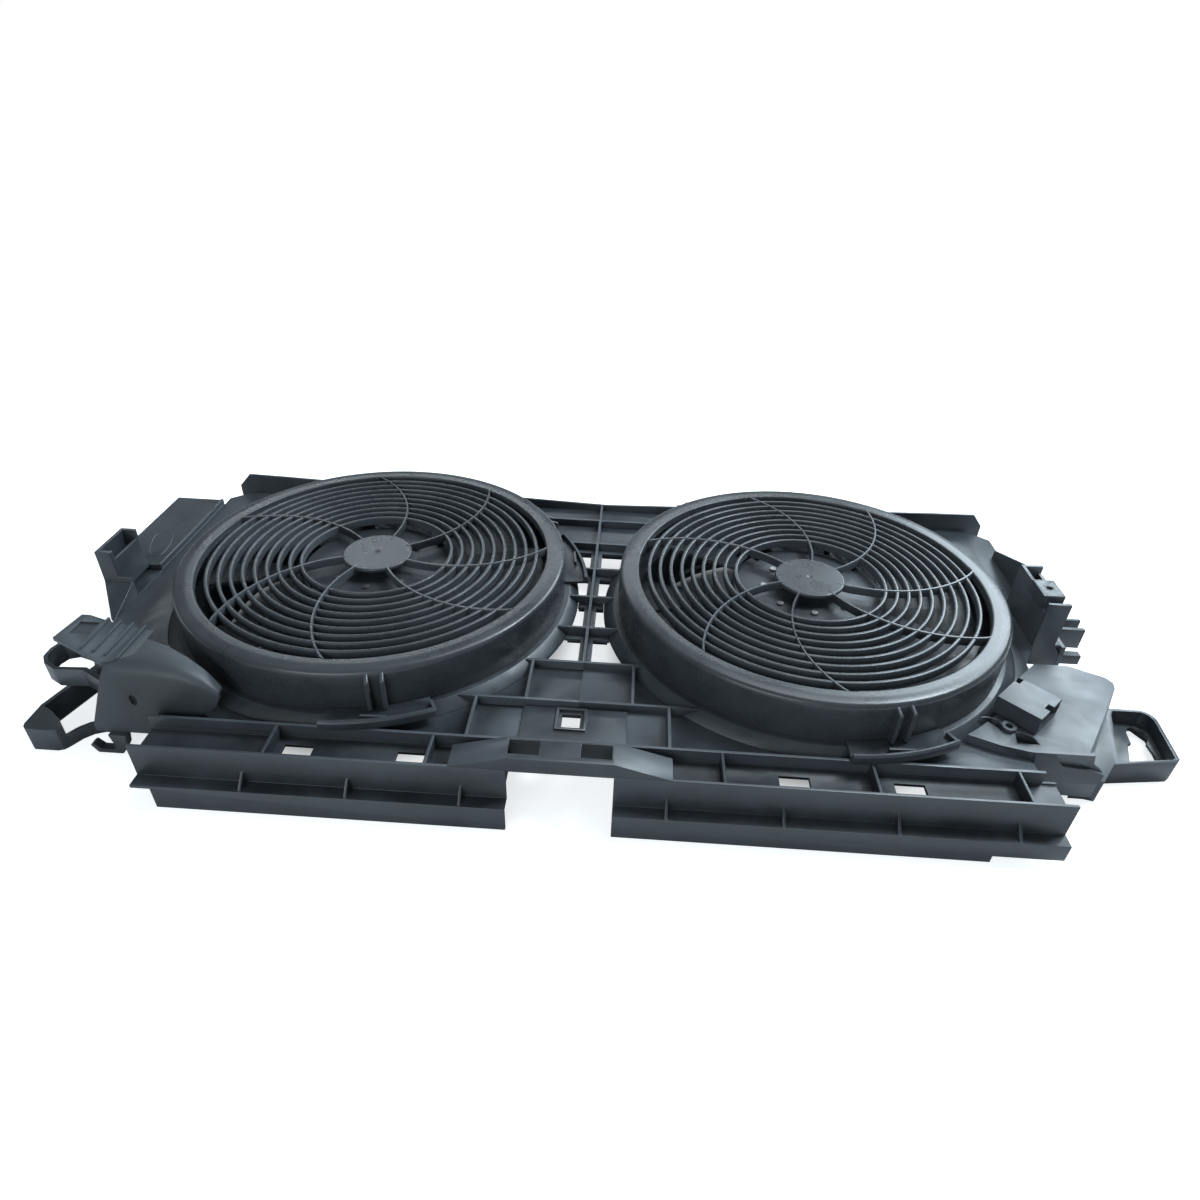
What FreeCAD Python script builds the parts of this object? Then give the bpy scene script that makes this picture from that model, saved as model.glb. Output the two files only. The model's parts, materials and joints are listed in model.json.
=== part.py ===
import FreeCAD, Part
import Sketcher
import math
import os
import re

# Twin axial condenser fan module: one moulded shroud carries two fans under two snap-on guards.
# Plan coordinates are measured from the point midway between the fan axes, heights from the floor.

os.makedirs("parts", exist_ok=True)
doc = FreeCAD.newDocument("condenser_fan")
sheet = doc.addObject("Spreadsheet::Sheet", "sizes")

# Driving dimensions, millimetres and degrees
dimensions = [
    # guard, the size that everything else is set from
    ("rim_r", 155, "outer radius of a guard"),
    ("rim_gap", 46, "gap between the two guards"),
    ("rim_top", 80, "top of the guard rims above the floor"),
    ("rim_wall", 2.5, "wall of a guard"),
    ("rim_fillet", 3, "rounding of the guard rim"),
    ("rim_split", 6, "depth of the guard's grille section below its top"),
    ("lip_wide", 15.5, "width of the flat rim round the grille"),
    ("grille_deep", 7, "depth of guard rings and spokes"),
    ("ring_wall", 2.2, "thickness of a guard ring"),
    ("ring_first_r", 60, "radius of the innermost guard ring"),
    ("ring_margin", 8.5, "flat rim to the outermost guard ring"),
    ("ring_count", 9, "number of guard rings"),
    ("disc_r", 28, "radius of the guard centre disc"),
    ("disc_thick", 4, "thickness of the guard centre disc"),
    ("dimple_r", 1.2, "radius of the dimple in the centre disc"),
    ("spoke_wall", 2.4, "thickness of a guard spoke"),
    ("spoke_bow_r", 104, "radius of the bow of a guard spoke"),
    ("spoke_bow_deg", 75, "angle turned by the bow of a spoke"),
    ("ear_wall", 2.5, "thickness of a guard ear"),
    ("ear_reach", 6, "how far a guard ear stands out"),
    ("ear_split", 13, "distance between the two plates of an ear"),
    ("latch_tall", 7, "height of a guard latch"),
    ("latch_reach", 20, "how far a guard latch stands out"),
    ("latch_floor", 2.2, "thickness of a latch's floor"),
    ("latch_sweep", 26, "angle that a guard latch covers"),
    # heights
    ("panel_top", 39, "top of the shroud sheet"),
    ("rib_tall", 7, "height of the ribs above the sheet"),
    ("rib_deep", 9, "depth of the ladder's ribs below the top of the sheet"),
    ("tray_drop", 4, "how far the rail's tray lies below the sheet"),
    ("ledge_top", 20, "top of the front ledge"),
    ("sheet_wall", 2.5, "thickness of the shroud sheet and walls"),
    ("rib_wall", 2.2, "thickness of a stiffening rib"),
    ("bolted_gap", 0.3, "clearance between curved faces that are seated"),
    # duct and shoulder
    ("duct_step", 15, "guard rim to the bore of the air duct"),
    ("shoulder_step", 4, "how far the shoulder stands out from the guard"),
    ("shoulder_run", 8, "slope of the shoulder down to the sheet"),
    ("duct_foot", 12, "height of the duct's lower edge"),
    ("flange_in", 5, "how far the duct's foot flange reaches inwards"),
    ("flange_out", 7, "how far the duct's foot flange reaches outwards"),
    # panel outline
    ("left_margin", 45, "left guard to the left edge of the sheet"),
    ("right_margin", 53, "right guard to the right edge of the sheet"),
    ("corner_out", 16, "how far the right corner stands past the edge"),
    ("front_margin", 13, "shoulder to the front rib"),
    ("rear_margin", 11, "shoulder to the back of the rear wall"),
    ("corner_cut", 20, "chamfer of the rear corners"),
    ("front_left_inset", 88, "left edge of the sheet to the left end of the rail"),
    ("front_right_inset", 36, "right edge of the sheet to the chamfer's front end"),
    ("step_inset", 74, "right edge of the sheet to the corner step"),
    ("step_deep", 22, "how far the sheet steps back at the corner"),
    ("chamfer_left_y", 95, "where the front left chamfer starts"),
    ("chamfer_right_y", 77, "where the front right chamfer starts"),
    ("rung_front", 42, "front rib to the first cross rib"),
    ("rung_back", 36, "last cross rib to the rear wall"),
    ("spine_wall", 5, "width of the spine between the windows"),
    ("window_margin", 7, "frame left round a window"),
    ("upright_x", 37, "midpoint to the upright ribs of the middle bay"),
    ("upright_left_x", 72, "midpoint to the left upright rib of the front bay"),
    ("upright_right_x", 63, "midpoint to the right upright rib of the front bay"),
    # rear wall
    ("wall_end_top", 57, "height of the rear wall at its ends"),
    ("wall_mid_top", 45, "height of the rear wall at the middle"),
    ("wall_foot", 24, "lower edge of the rear wall"),
    ("wall_ramp", 50, "length of the rear wall's slope at the left end"),
    # front rail
    ("rail_deep", 28, "front rib to the front face of the rail"),
    ("ledge_deep", 10, "how far the ledge stands out from the rail"),
    ("notch_left_x", 42, "midpoint to the left side of the notch"),
    ("notch_right_x", 28, "midpoint to the right side of the notch"),
    ("rail_right_inset", 64, "right edge of the sheet to the right end of the rail"),
    ("lip_inset", 13, "how far the lip stops short of the rail's left end"),
    ("lip_step_long", 46, "length of the raised part of the right lip"),
    ("lip_step", 6, "height of the step in the right lip"),
    ("arch_top", 57, "top of the arch over the notch"),
    ("arch_deep", 20, "depth of the arch"),
    ("arch_run", 38, "length of each sloping end of the arch"),
    ("slot_long", 20, "length of a slot in the rail's tray"),
    ("slot_wide", 14, "width of a slot in the rail's tray"),
    ("slot_inset", 7, "front face of the rail to a slot"),
    ("gusset_tall", 9, "height of the gussets on the ledge"),
    # catch plate
    ("catch_left", 39, "midpoint to the left edge of the catch plate"),
    ("catch_right", 35, "midpoint to the right edge of the catch plate"),
    ("catch_thick", 2, "thickness of the catch plate"),
    ("catch_x", -4.5, "midpoint to the middle of the catch hole"),
    ("catch_y", 27.5, "front rib to the middle of the catch hole"),
    ("catch_lap", 4, "how far the catch plate laps over the sheet"),
    ("catch_frame", 22, "side of the frame round the catch hole"),
    ("catch_hole", 13, "side of the square catch hole"),
    # fan
    ("tip_gap", 4, "gap between the blade tips and the duct"),
    ("hub_r", 62, "radius of the fan hub"),
    ("hub_drop", 12, "top of the guard to the top of the fan hub"),
    ("hub_foot", 34, "lower edge of the fan hub"),
    ("hub_wall", 2.5, "wall of the fan hub"),
    ("blade_count", 8, "number of blades"),
    ("blade_thick", 2.4, "thickness of a blade"),
    ("blade_root", 52, "chord of a blade at the hub"),
    ("blade_tip", 98, "chord of a blade at the tip"),
    ("root_pitch", 34, "pitch angle of a blade at the hub"),
    ("tip_pitch", 17, "pitch angle of a blade at the tip"),
    ("blade_drop", 29, "top of the guard to the middle of the blades"),
    ("rivet_r", 2.6, "radius of a hub rivet"),
    ("rivet_circle", 36, "radius of the circle of rivets"),
    ("rivet_count", 8, "number of hub rivets"),
    ("rivet_tall", 1.5, "height of a rivet head"),
    # motor
    ("can_r", 44, "radius of the motor can"),
    ("can_foot", 12, "foot of the motor can"),
    ("can_wall", 2, "wall of the motor can"),
    ("cap_step", 3, "motor can to the end cap"),
    ("shaft_r", 4, "radius of the motor shaft"),
    ("shaft_stub", 3, "how far the shaft stands above the hub"),
    ("shaft_fit", 0.05, "radial running clearance of the shaft"),
    ("shaft_press", 0.01, "radial gap of what is pressed on the shaft"),
    ("magnet_thick", 5, "thickness of a motor magnet"),
    ("air_gap", 1, "gap between moving and fixed parts of the motor"),
    ("winding_gap", 10, "end of the motor to its armature"),
    ("bearing_r", 9, "outer radius of the bearing bush"),
    ("bearing_tall", 6, "height of the bearing bush"),
    ("boss_r", 10, "radius of the fan's shaft boss"),
    ("boss_tall", 7, "height of the fan's shaft boss"),
    ("nut_r", 7, "radius of the shaft clip"),
    ("nut_tall", 1.2, "thickness of the shaft clip"),
    # motor carrier
    ("carrier_foot", 6, "lower face of the motor carrier"),
    ("carrier_tall", 10, "height of the carrier's inner ring"),
    ("carrier_wide", 14, "width of the carrier's inner ring"),
    ("strut_count", 5, "number of carrier struts"),
    ("strut_wall", 7, "width of a carrier strut"),
    ("lug_out", 7.5, "motor can to the circle of motor screws"),
    ("lug_r", 6, "radius of a motor lug"),
    ("lug_thick", 2, "thickness of a motor lug"),
    ("lug_count", 3, "number of motor lugs"),
    ("screw_r", 2, "shank radius of a motor screw"),
    ("screw_head_r", 4, "head radius of a motor screw"),
    ("screw_head", 2.5, "height of a motor screw head"),
    ("bush_r", 5, "radius of a rubber bush"),
    ("bush_tall", 3, "height of a rubber bush"),
    # cable duct and left post
    ("cable_duct_wide", 46, "width of the cable duct"),
    ("cable_duct_inset", 33, "back of the module to the back of the cable duct"),
    ("cable_duct_foot", 22, "floor of the cable duct"),
    ("cable_duct_top", 40, "top of the cable duct's walls"),
    ("cover_thick", 4, "height of the cable duct's cover"),
    ("cover_rim", 1, "height of the raised rim of the cover"),
    ("cover_gap", 8, "gap in the raised rim of the cover"),
    ("left_post_out", 24, "left edge of the sheet to the outer face of the left post"),
    ("left_post_wide", 13, "width of the left post"),
    ("left_post_back", 14, "midpoint to the back of the left post"),
    ("left_post_long", 40, "length of the left post"),
    # left bracket
    ("hood_step", 10, "front rib back to the face of the left bracket"),
    ("hood_foot", 19, "lower edge of the left bracket"),
    ("hood_inset", 38, "left edge of the sheet to the bracket's lower left corner"),
    ("hood_long", 96, "length of the left bracket"),
    ("hood_wall", 2.8, "wall of the left bracket"),
    ("hood_lean", 24, "how far the bracket's left edge leans to the right"),
    ("shelf_inset", 12, "left edge of the sheet to the left end of the bracket's shelf"),
    ("shelf_deep", 54, "face of the bracket to the back of its shelf"),
    ("comb_pitch", 10, "spacing of the shelf's comb ribs"),
    ("comb_tall", 2, "height of the shelf's comb ribs"),
    ("face_slot_long", 9, "length of the slot in the bracket's face"),
    ("face_slot_wide", 5, "width of the slot in the bracket's face"),
    # loops and ears
    ("strap_tall", 15, "height of the upper strap loop"),
    ("strap_drop", 35, "top of the guard to the foot of the upper strap loop"),
    ("ear_tall", 20, "height of the side ears"),
    ("ear_low", 10, "height of the left ear's front strap"),
    ("ear_sill", 6, "underside of the right ear's floor"),
    ("ear_floor", 2.5, "floor of the right ear"),
    ("right_ear_long", 38, "how far the right ear stands past the corner"),
    # right post, comb and corner
    ("right_post_wide", 18, "width of the right post"),
    ("right_post_front", 22, "midpoint to the front of the right post"),
    ("right_post_back", 38, "midpoint to the back of the right post"),
    ("right_post_wall", 3, "wall of the right post"),
    ("pad_long", 24, "length of the screw pad on the right post"),
    ("pad_tall", 3, "how far the screw pad stands above the post"),
    ("pad_screw_r", 2.5, "radius of the pad's screw hole"),
    ("pad_screw_deep", 18, "depth of the pad's screw hole"),
    ("step_wide", 50, "width of the corner step"),
    ("step_foot", 8, "lower edge of the corner step"),
    ("box_long", 32, "length of the connector box"),
    ("box_wide", 33, "width of the connector box"),
    ("box_tall", 14, "height of the connector box"),
    ("box_wall", 2, "wall of the connector box"),
    ("box_turn", -45, "angle of the connector box"),
    ("boss_ring_r", 5, "radius of the boss beside the connector box"),
    ("boss_ring_tall", 3, "height of the boss beside the connector box"),
]
# Sizes that follow from the driving ones
derived = [
    ("fan_spacing", "2 * rim_r + rim_gap", "distance between the two fan axes"),
    ("panel_left", "fan_spacing / 2 + rim_r + left_margin", "midpoint to the left edge of the sheet"),
    ("left_reach", "panel_left + cable_duct_wide", "midpoint to the outer wall of the cable duct"),
    ("panel_right", "fan_spacing / 2 + rim_r + right_margin", "midpoint to the right edge of the sheet"),
    ("corner_right", "panel_right + corner_out", "midpoint to the right corner of the sheet"),
    ("right_reach", "corner_right + right_ear_long", "midpoint to the outer wall of the right ear"),
    ("shoulder_r", "rim_r + shoulder_step", "radius of the shoulder under the guard"),
    ("shoulder_edge", "shoulder_r + shoulder_run", "radius where the shoulder meets the sheet"),
    ("panel_front", "shoulder_r + front_margin", "midpoint to the front rib"),
    ("face_y", "panel_front + rail_deep", "midpoint to the front face of the rail"),
    ("front_reach", "face_y + ledge_deep", "midpoint to the front of the hanging lip"),
    ("rear_reach", "shoulder_r + rear_margin", "midpoint to the back of the rear wall"),
    ("rib_top", "panel_top + rib_tall", "top of the shroud ribs and foot of the guards"),
    ("tray_top", "panel_top - tray_drop", "floor of the rail's tray"),
    ("grille_r", "rim_r - lip_wide", "inner edge of the flat guard rim"),
    ("ring_last_r", "grille_r - ring_margin", "radius of the outermost guard ring"),
    ("duct_r", "rim_r - duct_step", "bore of the air duct"),
    ("fan_tip_r", "duct_r - tip_gap", "radius of the blade tips"),
    ("front_left_x", "panel_left - front_left_inset", "midpoint to the left end of the front rib"),
    ("front_right_x", "panel_right - front_right_inset", "midpoint to the front end of the right chamfer"),
    ("step_x", "panel_right - step_inset", "midpoint to the left side of the corner step"),
    ("step_y", "panel_front - step_deep", "midpoint to the back of the corner step"),
    ("rail_right_x", "panel_right - rail_right_inset", "midpoint to the right end of the rail"),
    ("lip_step_x", "rail_right_x - lip_step_long", "midpoint to the step in the right lip"),
    ("arch_back", "face_y - arch_deep", "midpoint to the back of the arch"),
    ("rung_first_y", "panel_front - rung_front", "midpoint to the first cross rib"),
    ("rung_pitch", "(rung_first_y + rear_reach - rung_back) / 6", "spacing of the cross ribs"),
    ("hub_top", "rim_top - hub_drop", "top of the fan hub"),
    ("blade_mid", "rim_top - blade_drop", "height of the middle of the blades"),
    ("can_top", "hub_top - boss_tall - air_gap", "top of the motor can"),
    ("cap_r", "can_r - cap_step", "radius of the motor's end cap"),
    ("shaft_top", "hub_top + shaft_stub", "upper end of the motor shaft"),
    ("armature_low", "can_foot + winding_gap", "lower end of the armature"),
    ("armature_high", "can_top - winding_gap", "upper end of the armature"),
    ("carrier_ring_r", "can_r + carrier_wide", "outer radius of the carrier's inner ring"),
    ("lug_circle", "can_r + lug_out", "radius of the circle of motor screws"),
    ("lug_foot", "carrier_foot + carrier_tall + bush_tall", "underside of the motor lugs"),
    ("cable_duct_back", "rear_reach - cable_duct_inset", "midpoint to the back of the cable duct"),
    ("left_post_x", "panel_left + left_post_out", "midpoint to the outer face of the left post"),
    ("hood_y", "panel_front - hood_step", "midpoint to the front of the left bracket"),
    ("hood_left", "panel_left - hood_inset", "midpoint to the lower left corner of the bracket"),
    ("hood_right", "hood_left - hood_long", "midpoint to the right end of the bracket"),
    ("shelf_x", "panel_left - shelf_inset", "midpoint to the left end of the bracket's shelf"),
    ("shelf_back", "hood_y - shelf_deep", "midpoint to the back of the bracket's shelf"),
    ("right_post_x", "panel_right - 6", "midpoint to the outer face of the right post"),
    ("box_top", "rib_top + box_tall", "top of the connector box"),
]
size = {}
for row, (alias, value, meaning) in enumerate(dimensions + derived, 1):
    sheet.set("A%d" % row, meaning)
    sheet.set("B%d" % row, "=" + value if isinstance(value, str) else str(value))
    sheet.setAlias("B%d" % row, alias)
    size[alias] = value
doc.recompute()

word = re.compile(r"[A-Za-z_]+")


def formula(text):
    """Write an expression of size names as FreeCAD reads it."""
    return word.sub(lambda found: "sizes." + found.group(0) if found.group(0) in size else found.group(0),
                    text)


def bind(thing, links):
    for path, text in links.items():
        thing.setExpression(path, formula(text))


pieces = []


def body(label):
    made = doc.addObject("PartDesign::Body", label)
    made.Label = label
    return made


def origin_feature(owner, role):
    return [feature for feature in owner.Origin.OriginFeatures if feature.Role == role][0]


def place(thing, x="0", y="0", z="0", turn=None):
    """Put a finished piece in the module, and list it for export."""
    bind(thing, {
        "Placement.Base.x": "(left_reach - right_reach) / 2 + (%s)" % x,
        "Placement.Base.y": "(front_reach - rear_reach) / 2 + (%s)" % y,
        "Placement.Base.z": z,
    })
    if turn is not None:
        thing.Placement.Rotation = FreeCAD.Rotation(FreeCAD.Vector(0, 0, 1), 0)
        bind(thing, {"Placement.Rotation.Angle": turn})
    pieces.append(thing)


def copy_of(master, label):
    """A second or third moulding from the same tool."""
    made = doc.addObject("Part::Compound", label)
    made.Label = label
    made.Links = [master]
    return made


def new_sketch(owner, name, plane, offset):
    sketch = owner.newObject("Sketcher::SketchObject", name)
    sketch.AttachmentSupport = [(origin_feature(owner, plane), "")]
    sketch.MapMode = "FlatFace"
    bind(sketch, {"AttachmentOffset.Base." + axis: text for axis, text in zip("xyz", offset)})
    return sketch


def draw_loop(sketch, corners):
    """One closed polygon, each corner held by two distances from the sketch's origin."""
    first = sketch.GeometryCount
    count = len(corners)
    angles = [2 * math.pi * index / count for index in range(count + 1)]
    spots = [FreeCAD.Vector(50 * math.cos(angle), 50 * math.sin(angle), 0) for angle in angles]
    for index in range(count):
        sketch.addGeometry(Part.LineSegment(spots[index], spots[index + 1]), False)
    for index in range(count):
        here = first + index
        there = first + (index + 1) % count
        sketch.addConstraint(Sketcher.Constraint("Coincident", here, 2, there, 1))
    for index, (across, along) in enumerate(corners):
        for kind, text in (("DistanceX", across), ("DistanceY", along)):
            number = sketch.addConstraint(Sketcher.Constraint(kind, -1, 1, first + index, 1, 1.0))
            sketch.setExpression("Constraints[%d]" % number, formula(text))


def extrude(owner, name, plane, corners, start, length, cut=False):
    """Pad or pocket a polygon. Lengths run along +Z, +X or +Y of the module."""
    backward = plane == "XZ_Plane"
    offset = ("0", "0", "-(%s)" % start if backward else start)
    sketch = new_sketch(owner, name + "_sketch", plane, offset)
    draw_loop(sketch, corners)
    feature = owner.newObject("PartDesign::Pocket" if cut else "PartDesign::Pad", name)
    feature.Profile = sketch
    feature.Reversed = backward != cut
    bind(feature, {"Length": length})
    return feature


def turned(owner, name, loops, centre=("0", "0"), cut=False):
    """Turn closed outlines (radius, height) about a vertical axis."""
    sketch = new_sketch(owner, name + "_sketch", "XZ_Plane", (centre[0], "0", "-(%s)" % centre[1]))
    for corners in loops:
        draw_loop(sketch, corners)
    feature = owner.newObject("PartDesign::Groove" if cut else "PartDesign::Revolution", name)
    feature.Profile = sketch
    feature.ReferenceAxis = (sketch, ["V_Axis"])
    feature.Angle = 360
    return feature


def block(owner, name, low, high, cut=False):
    """An upright box between two corners given as formulas."""
    feature = owner.newObject("PartDesign::SubtractiveBox" if cut else "PartDesign::AdditiveBox", name)
    bind(feature, {"Placement.Base." + axis: text for axis, text in zip("xyz", low)})
    spans = ["(%s) - (%s)" % (upper, lower) for lower, upper in zip(low, high)]
    bind(feature, dict(zip(("Length", "Width", "Height"), spans)))
    return feature


def drum(owner, name, radius, low, high, x="0", y="0", cut=False):
    """An upright cylinder."""
    feature = owner.newObject("PartDesign::SubtractiveCylinder" if cut else "PartDesign::AdditiveCylinder",
                              name)
    bind(feature, {
        "Radius": radius,
        "Height": "(%s) - (%s)" % (high, low),
        "Placement.Base.x": x,
        "Placement.Base.y": y,
        "Placement.Base.z": low,
    })
    return feature


def polar(owner, name, features, count):
    feature = owner.newObject("PartDesign::PolarPattern", name)
    feature.Originals = features
    feature.Axis = (origin_feature(owner, "Z_Axis"), [""])
    feature.Angle = 360
    bind(feature, {"Occurrences": count})
    owner.Tip = feature
    return feature


def sided(side, near, far):
    """Two formulas in rising order for a span that is mirrored on the left side."""
    if side == "left":
        return "-(%s)" % far, "-(%s)" % near
    return near, far


# Shroud: left and right sheets of the moulding, each open round its air duct
rung_ys = ["-(rung_first_y) + %d * rung_pitch" % step for step in range(7)]
outlines = {
    "left": [
        ("0", "-panel_front"), ("0", "rear_reach - sheet_wall"),
        ("-(panel_left - corner_cut)", "rear_reach - sheet_wall"),
        ("-panel_left", "rear_reach - corner_cut"), ("-panel_left", "-chamfer_left_y"),
        ("-(hood_left - 11)", "-(hood_y - 4)"), ("-front_left_x", "-(hood_y - 4)"),
        ("-front_left_x", "-panel_front"),
    ],
    "right": [
        ("0", "-panel_front"), ("step_x", "-panel_front"), ("step_x", "-step_y"),
        ("front_right_x + 3.6", "-step_y"), ("corner_right", "-chamfer_right_y"),
        ("corner_right", "-(chamfer_right_y - 17)"), ("panel_right", "-(chamfer_right_y - 29)"),
        ("panel_right", "rear_reach - corner_cut"),
        ("panel_right - corner_cut", "rear_reach - sheet_wall"), ("0", "rear_reach - sheet_wall"),
    ],
}


def shroud_half(side):
    half = body("shroud_" + side)
    centre = ("-fan_spacing / 2" if side == "left" else "fan_spacing / 2", "0")
    extrude(half, side + "_sheet", "XY_Plane", outlines[side], "panel_top - sheet_wall", "sheet_wall")
    # cross ribs: the front rib runs the whole way, the others end at the shoulder
    low, high = sided(side, "0", "front_left_x" if side == "left" else "step_x")
    block(half, side + "_front_rib", (low, "-panel_front", "panel_top - sheet_wall / 2"),
          (high, "-panel_front + rib_wall", "rib_top"))
    for number, rung_y in enumerate(rung_ys):
        reach = "fan_spacing / 2 - sqrt(shoulder_r ^ 2 - (%s) ^ 2) + rib_wall" % rung_y
        low, high = sided(side, "0", reach)
        depth = "panel_top - sheet_wall / 2" if number < 2 else "panel_top - rib_deep"
        block(half, "%s_rung_%d" % (side, number), (low, "%s - rib_wall / 2" % rung_y, depth),
              (high, "%s + rib_wall / 2" % rung_y, "rib_top"))
    # upright ribs between the cross ribs, on the centre panel
    front_upright = "upright_left_x" if side == "left" else "upright_right_x"
    for number, (across, start, stop) in enumerate((
            ("upright_x", "-rung_first_y", "-rung_first_y + rung_pitch"),
            (front_upright, "-panel_front", "-rung_first_y"))):
        low, high = sided(side, across, "%s + rib_wall" % across)
        block(half, "%s_upright_%d" % (side, number), (low, start, "panel_top - sheet_wall / 2"),
              (high, stop, "rib_top"))
    # spine between the windows
    low, high = sided(side, "0", "rib_wall / 2")
    block(half, side + "_spine", (low, "-rung_first_y + rung_pitch", "panel_top - rib_deep"),
          (high, "rear_reach - sheet_wall", "rib_top"))
    # windows in four bays of the ladder
    for bay in range(1, 5):
        front = "(%s + window_margin)" % rung_ys[bay]
        back = "(%s - window_margin)" % rung_ys[bay + 1]
        corners = [("spine_wall", front), ("spine_wall", back)]
        corners += [("fan_spacing / 2 - sqrt(shoulder_edge ^ 2 - %s ^ 2)" % at, at) for at in (back, front)]
        if side == "left":
            corners = [("-(%s)" % across, along) for across, along in corners]
        extrude(half, "%s_window_%d" % (side, bay), "XY_Plane", corners, "0", "rib_top - 1", cut=True)
    # through the catch plate
    block(half, side + "_catch_seat",
          ("-catch_left + catch_lap", "-(panel_front - rib_wall) + catch_lap", "0"),
          ("catch_right - catch_lap", "-(rung_first_y + rib_wall) - catch_lap", "panel_top"), cut=True)
    # gap in the sheet in front of the right post
    if side == "right":
        extrude(half, "post_gap", "XY_Plane", [
            ("right_post_x - right_post_wide", "-right_post_front + right_post_wall"),
            ("right_post_x - right_post_wide", "-right_post_front"),
            ("right_post_x - right_post_wide - 14", "-(chamfer_right_y - 29)"),
            ("right_post_x - right_post_wide - 14", "-(chamfer_right_y - 24)"),
            ("panel_right + 1", "-(chamfer_right_y - 24)"),
            ("panel_right + 1", "-right_post_front + right_post_wall"),
        ], "0", "rib_top", cut=True)
    # seat for the duct ring
    turned(half, side + "_seat", [[
        ("0", "0"), ("shoulder_edge + bolted_gap", "0"),
        ("shoulder_edge + bolted_gap", "panel_top + bolted_gap / 2"),
        ("shoulder_r + bolted_gap", "rib_top + bolted_gap / 2"), ("shoulder_r + bolted_gap", "rim_top"),
        ("0", "rim_top"),
    ]], centre, cut=True)
    return half


for side in ("left", "right"):
    place(shroud_half(side))

# Duct ring: collar of the air duct, shoulder under the guard and foot flange
duct_ring = body("duct_ring_tool")
turned(duct_ring, "duct_collar", [[
    ("duct_r", "duct_foot - 1"), ("duct_r + sheet_wall", "duct_foot - 1"),
    ("duct_r + sheet_wall", "panel_top - sheet_wall"), ("shoulder_edge", "panel_top - sheet_wall"),
    ("shoulder_edge", "panel_top"), ("shoulder_r", "rib_top"), ("duct_r", "rib_top"),
]])
turned(duct_ring, "duct_flange", [[
    ("duct_r - flange_in", "carrier_foot"), ("duct_r + flange_out", "carrier_foot"),
    ("duct_r + flange_out", "duct_foot"), ("duct_r - flange_in", "duct_foot"),
]])
for side, sign in (("left", "-"), ("right", "")):
    place(copy_of(duct_ring, "duct_ring_" + side), sign + "fan_spacing / 2")

# Rear wall: an upright flange, lower in the middle, with rounded ends
rear_wall = body("rear_wall")
extrude(rear_wall, "wall_plate", "XZ_Plane", [
    ("-(panel_left - 4)", "wall_foot"), ("panel_right - 4", "wall_foot"),
    ("panel_right - 4", "wall_end_top - 12"),
    ("panel_right - 14", "wall_end_top"), ("panel_right - 56", "wall_end_top - 1"),
    ("70", "wall_mid_top + 2"),
    ("5", "wall_mid_top"), ("-66", "wall_mid_top + 3"), ("-(panel_left - 4 - wall_ramp)", "wall_end_top"),
    ("-(panel_left - 16)", "wall_end_top + 1"), ("-(panel_left - 4)", "wall_end_top - 12"),
], "rear_reach - sheet_wall", "sheet_wall")
place(rear_wall)

# Front rail: tray, upright face, ledge and hanging lip in one profile, either side of the notch
rail_profile = [
    ("-(panel_front - rib_wall)", "panel_top - sheet_wall"), ("-panel_front", "panel_top - sheet_wall"),
    ("-panel_front", "tray_top"), ("-(face_y - sheet_wall)", "tray_top"),
    ("-(face_y - sheet_wall)", "rib_top"),
    ("-face_y", "rib_top"), ("-face_y", "ledge_top"), ("-front_reach", "ledge_top"), ("-front_reach", "0"),
    ("-(front_reach - sheet_wall)", "0"), ("-(front_reach - sheet_wall)", "ledge_top - sheet_wall"),
    ("-(face_y - sheet_wall)", "ledge_top - sheet_wall"), ("-(face_y - sheet_wall)", "tray_top - sheet_wall"),
    ("-(panel_front - rib_wall)", "tray_top - sheet_wall"),
]
rail_runs = {
    "left": ("-front_left_x", "-notch_left_x", ("195", "118"), ("202", "96"), ("218", "148", "73")),
    "right": ("notch_right_x", "rail_right_x", ("137", "213"), ("98", "197", "293"),
              ("62", "138", "212", "289")),
}


def front_rail(side):
    start, stop, slots, ribs, gussets = rail_runs[side]
    rail = body("front_rail_" + side)
    extrude(rail, side + "_rail", "YZ_Plane", rail_profile, start, "(%s) - (%s)" % (stop, start))
    for number, across in enumerate(slots):
        low = "-%s" % across if side == "left" else across
        block(rail, "%s_slot_%d" % (side, number), (low, "-(face_y - slot_inset)", "tray_top - 5"),
              ("%s + slot_long" % low, "-(face_y - slot_inset - slot_wide)", "tray_top + 5"), cut=True)
    for number, across in enumerate(ribs):
        low = "-%s" % across if side == "left" else across
        block(rail, "%s_tray_rib_%d" % (side, number), (low, "-(face_y - sheet_wall)", "tray_top - 1"),
              ("%s + rib_wall" % low, "-panel_front", "rib_top"))
    for number, across in enumerate(gussets):
        low = "-%s" % across if side == "left" else across
        extrude(rail, "%s_gusset_%d" % (side, number), "YZ_Plane", [
            ("-face_y", "ledge_top"), ("-face_y", "ledge_top + gusset_tall"),
            ("-(front_reach - 1)", "ledge_top + 1"), ("-(front_reach - 1)", "ledge_top - 1"),
            ("-face_y", "ledge_top - 1"),
        ], low, "rib_wall")
    if side == "left":
        block(rail, "left_lip_cut", ("-front_left_x - 1", "-front_reach - 1", "-1"),
              ("-(front_left_x - lip_inset)", "-(front_reach - sheet_wall - 1)", "ledge_top - sheet_wall"),
              cut=True)
    else:
        block(rail, "right_lip_cut", ("lip_step_x", "-front_reach - 1", "-1"),
              ("rail_right_x + 1", "-(front_reach - sheet_wall - 1)", "lip_step"), cut=True)
    return rail


for side in ("left", "right"):
    place(front_rail(side))

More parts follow.
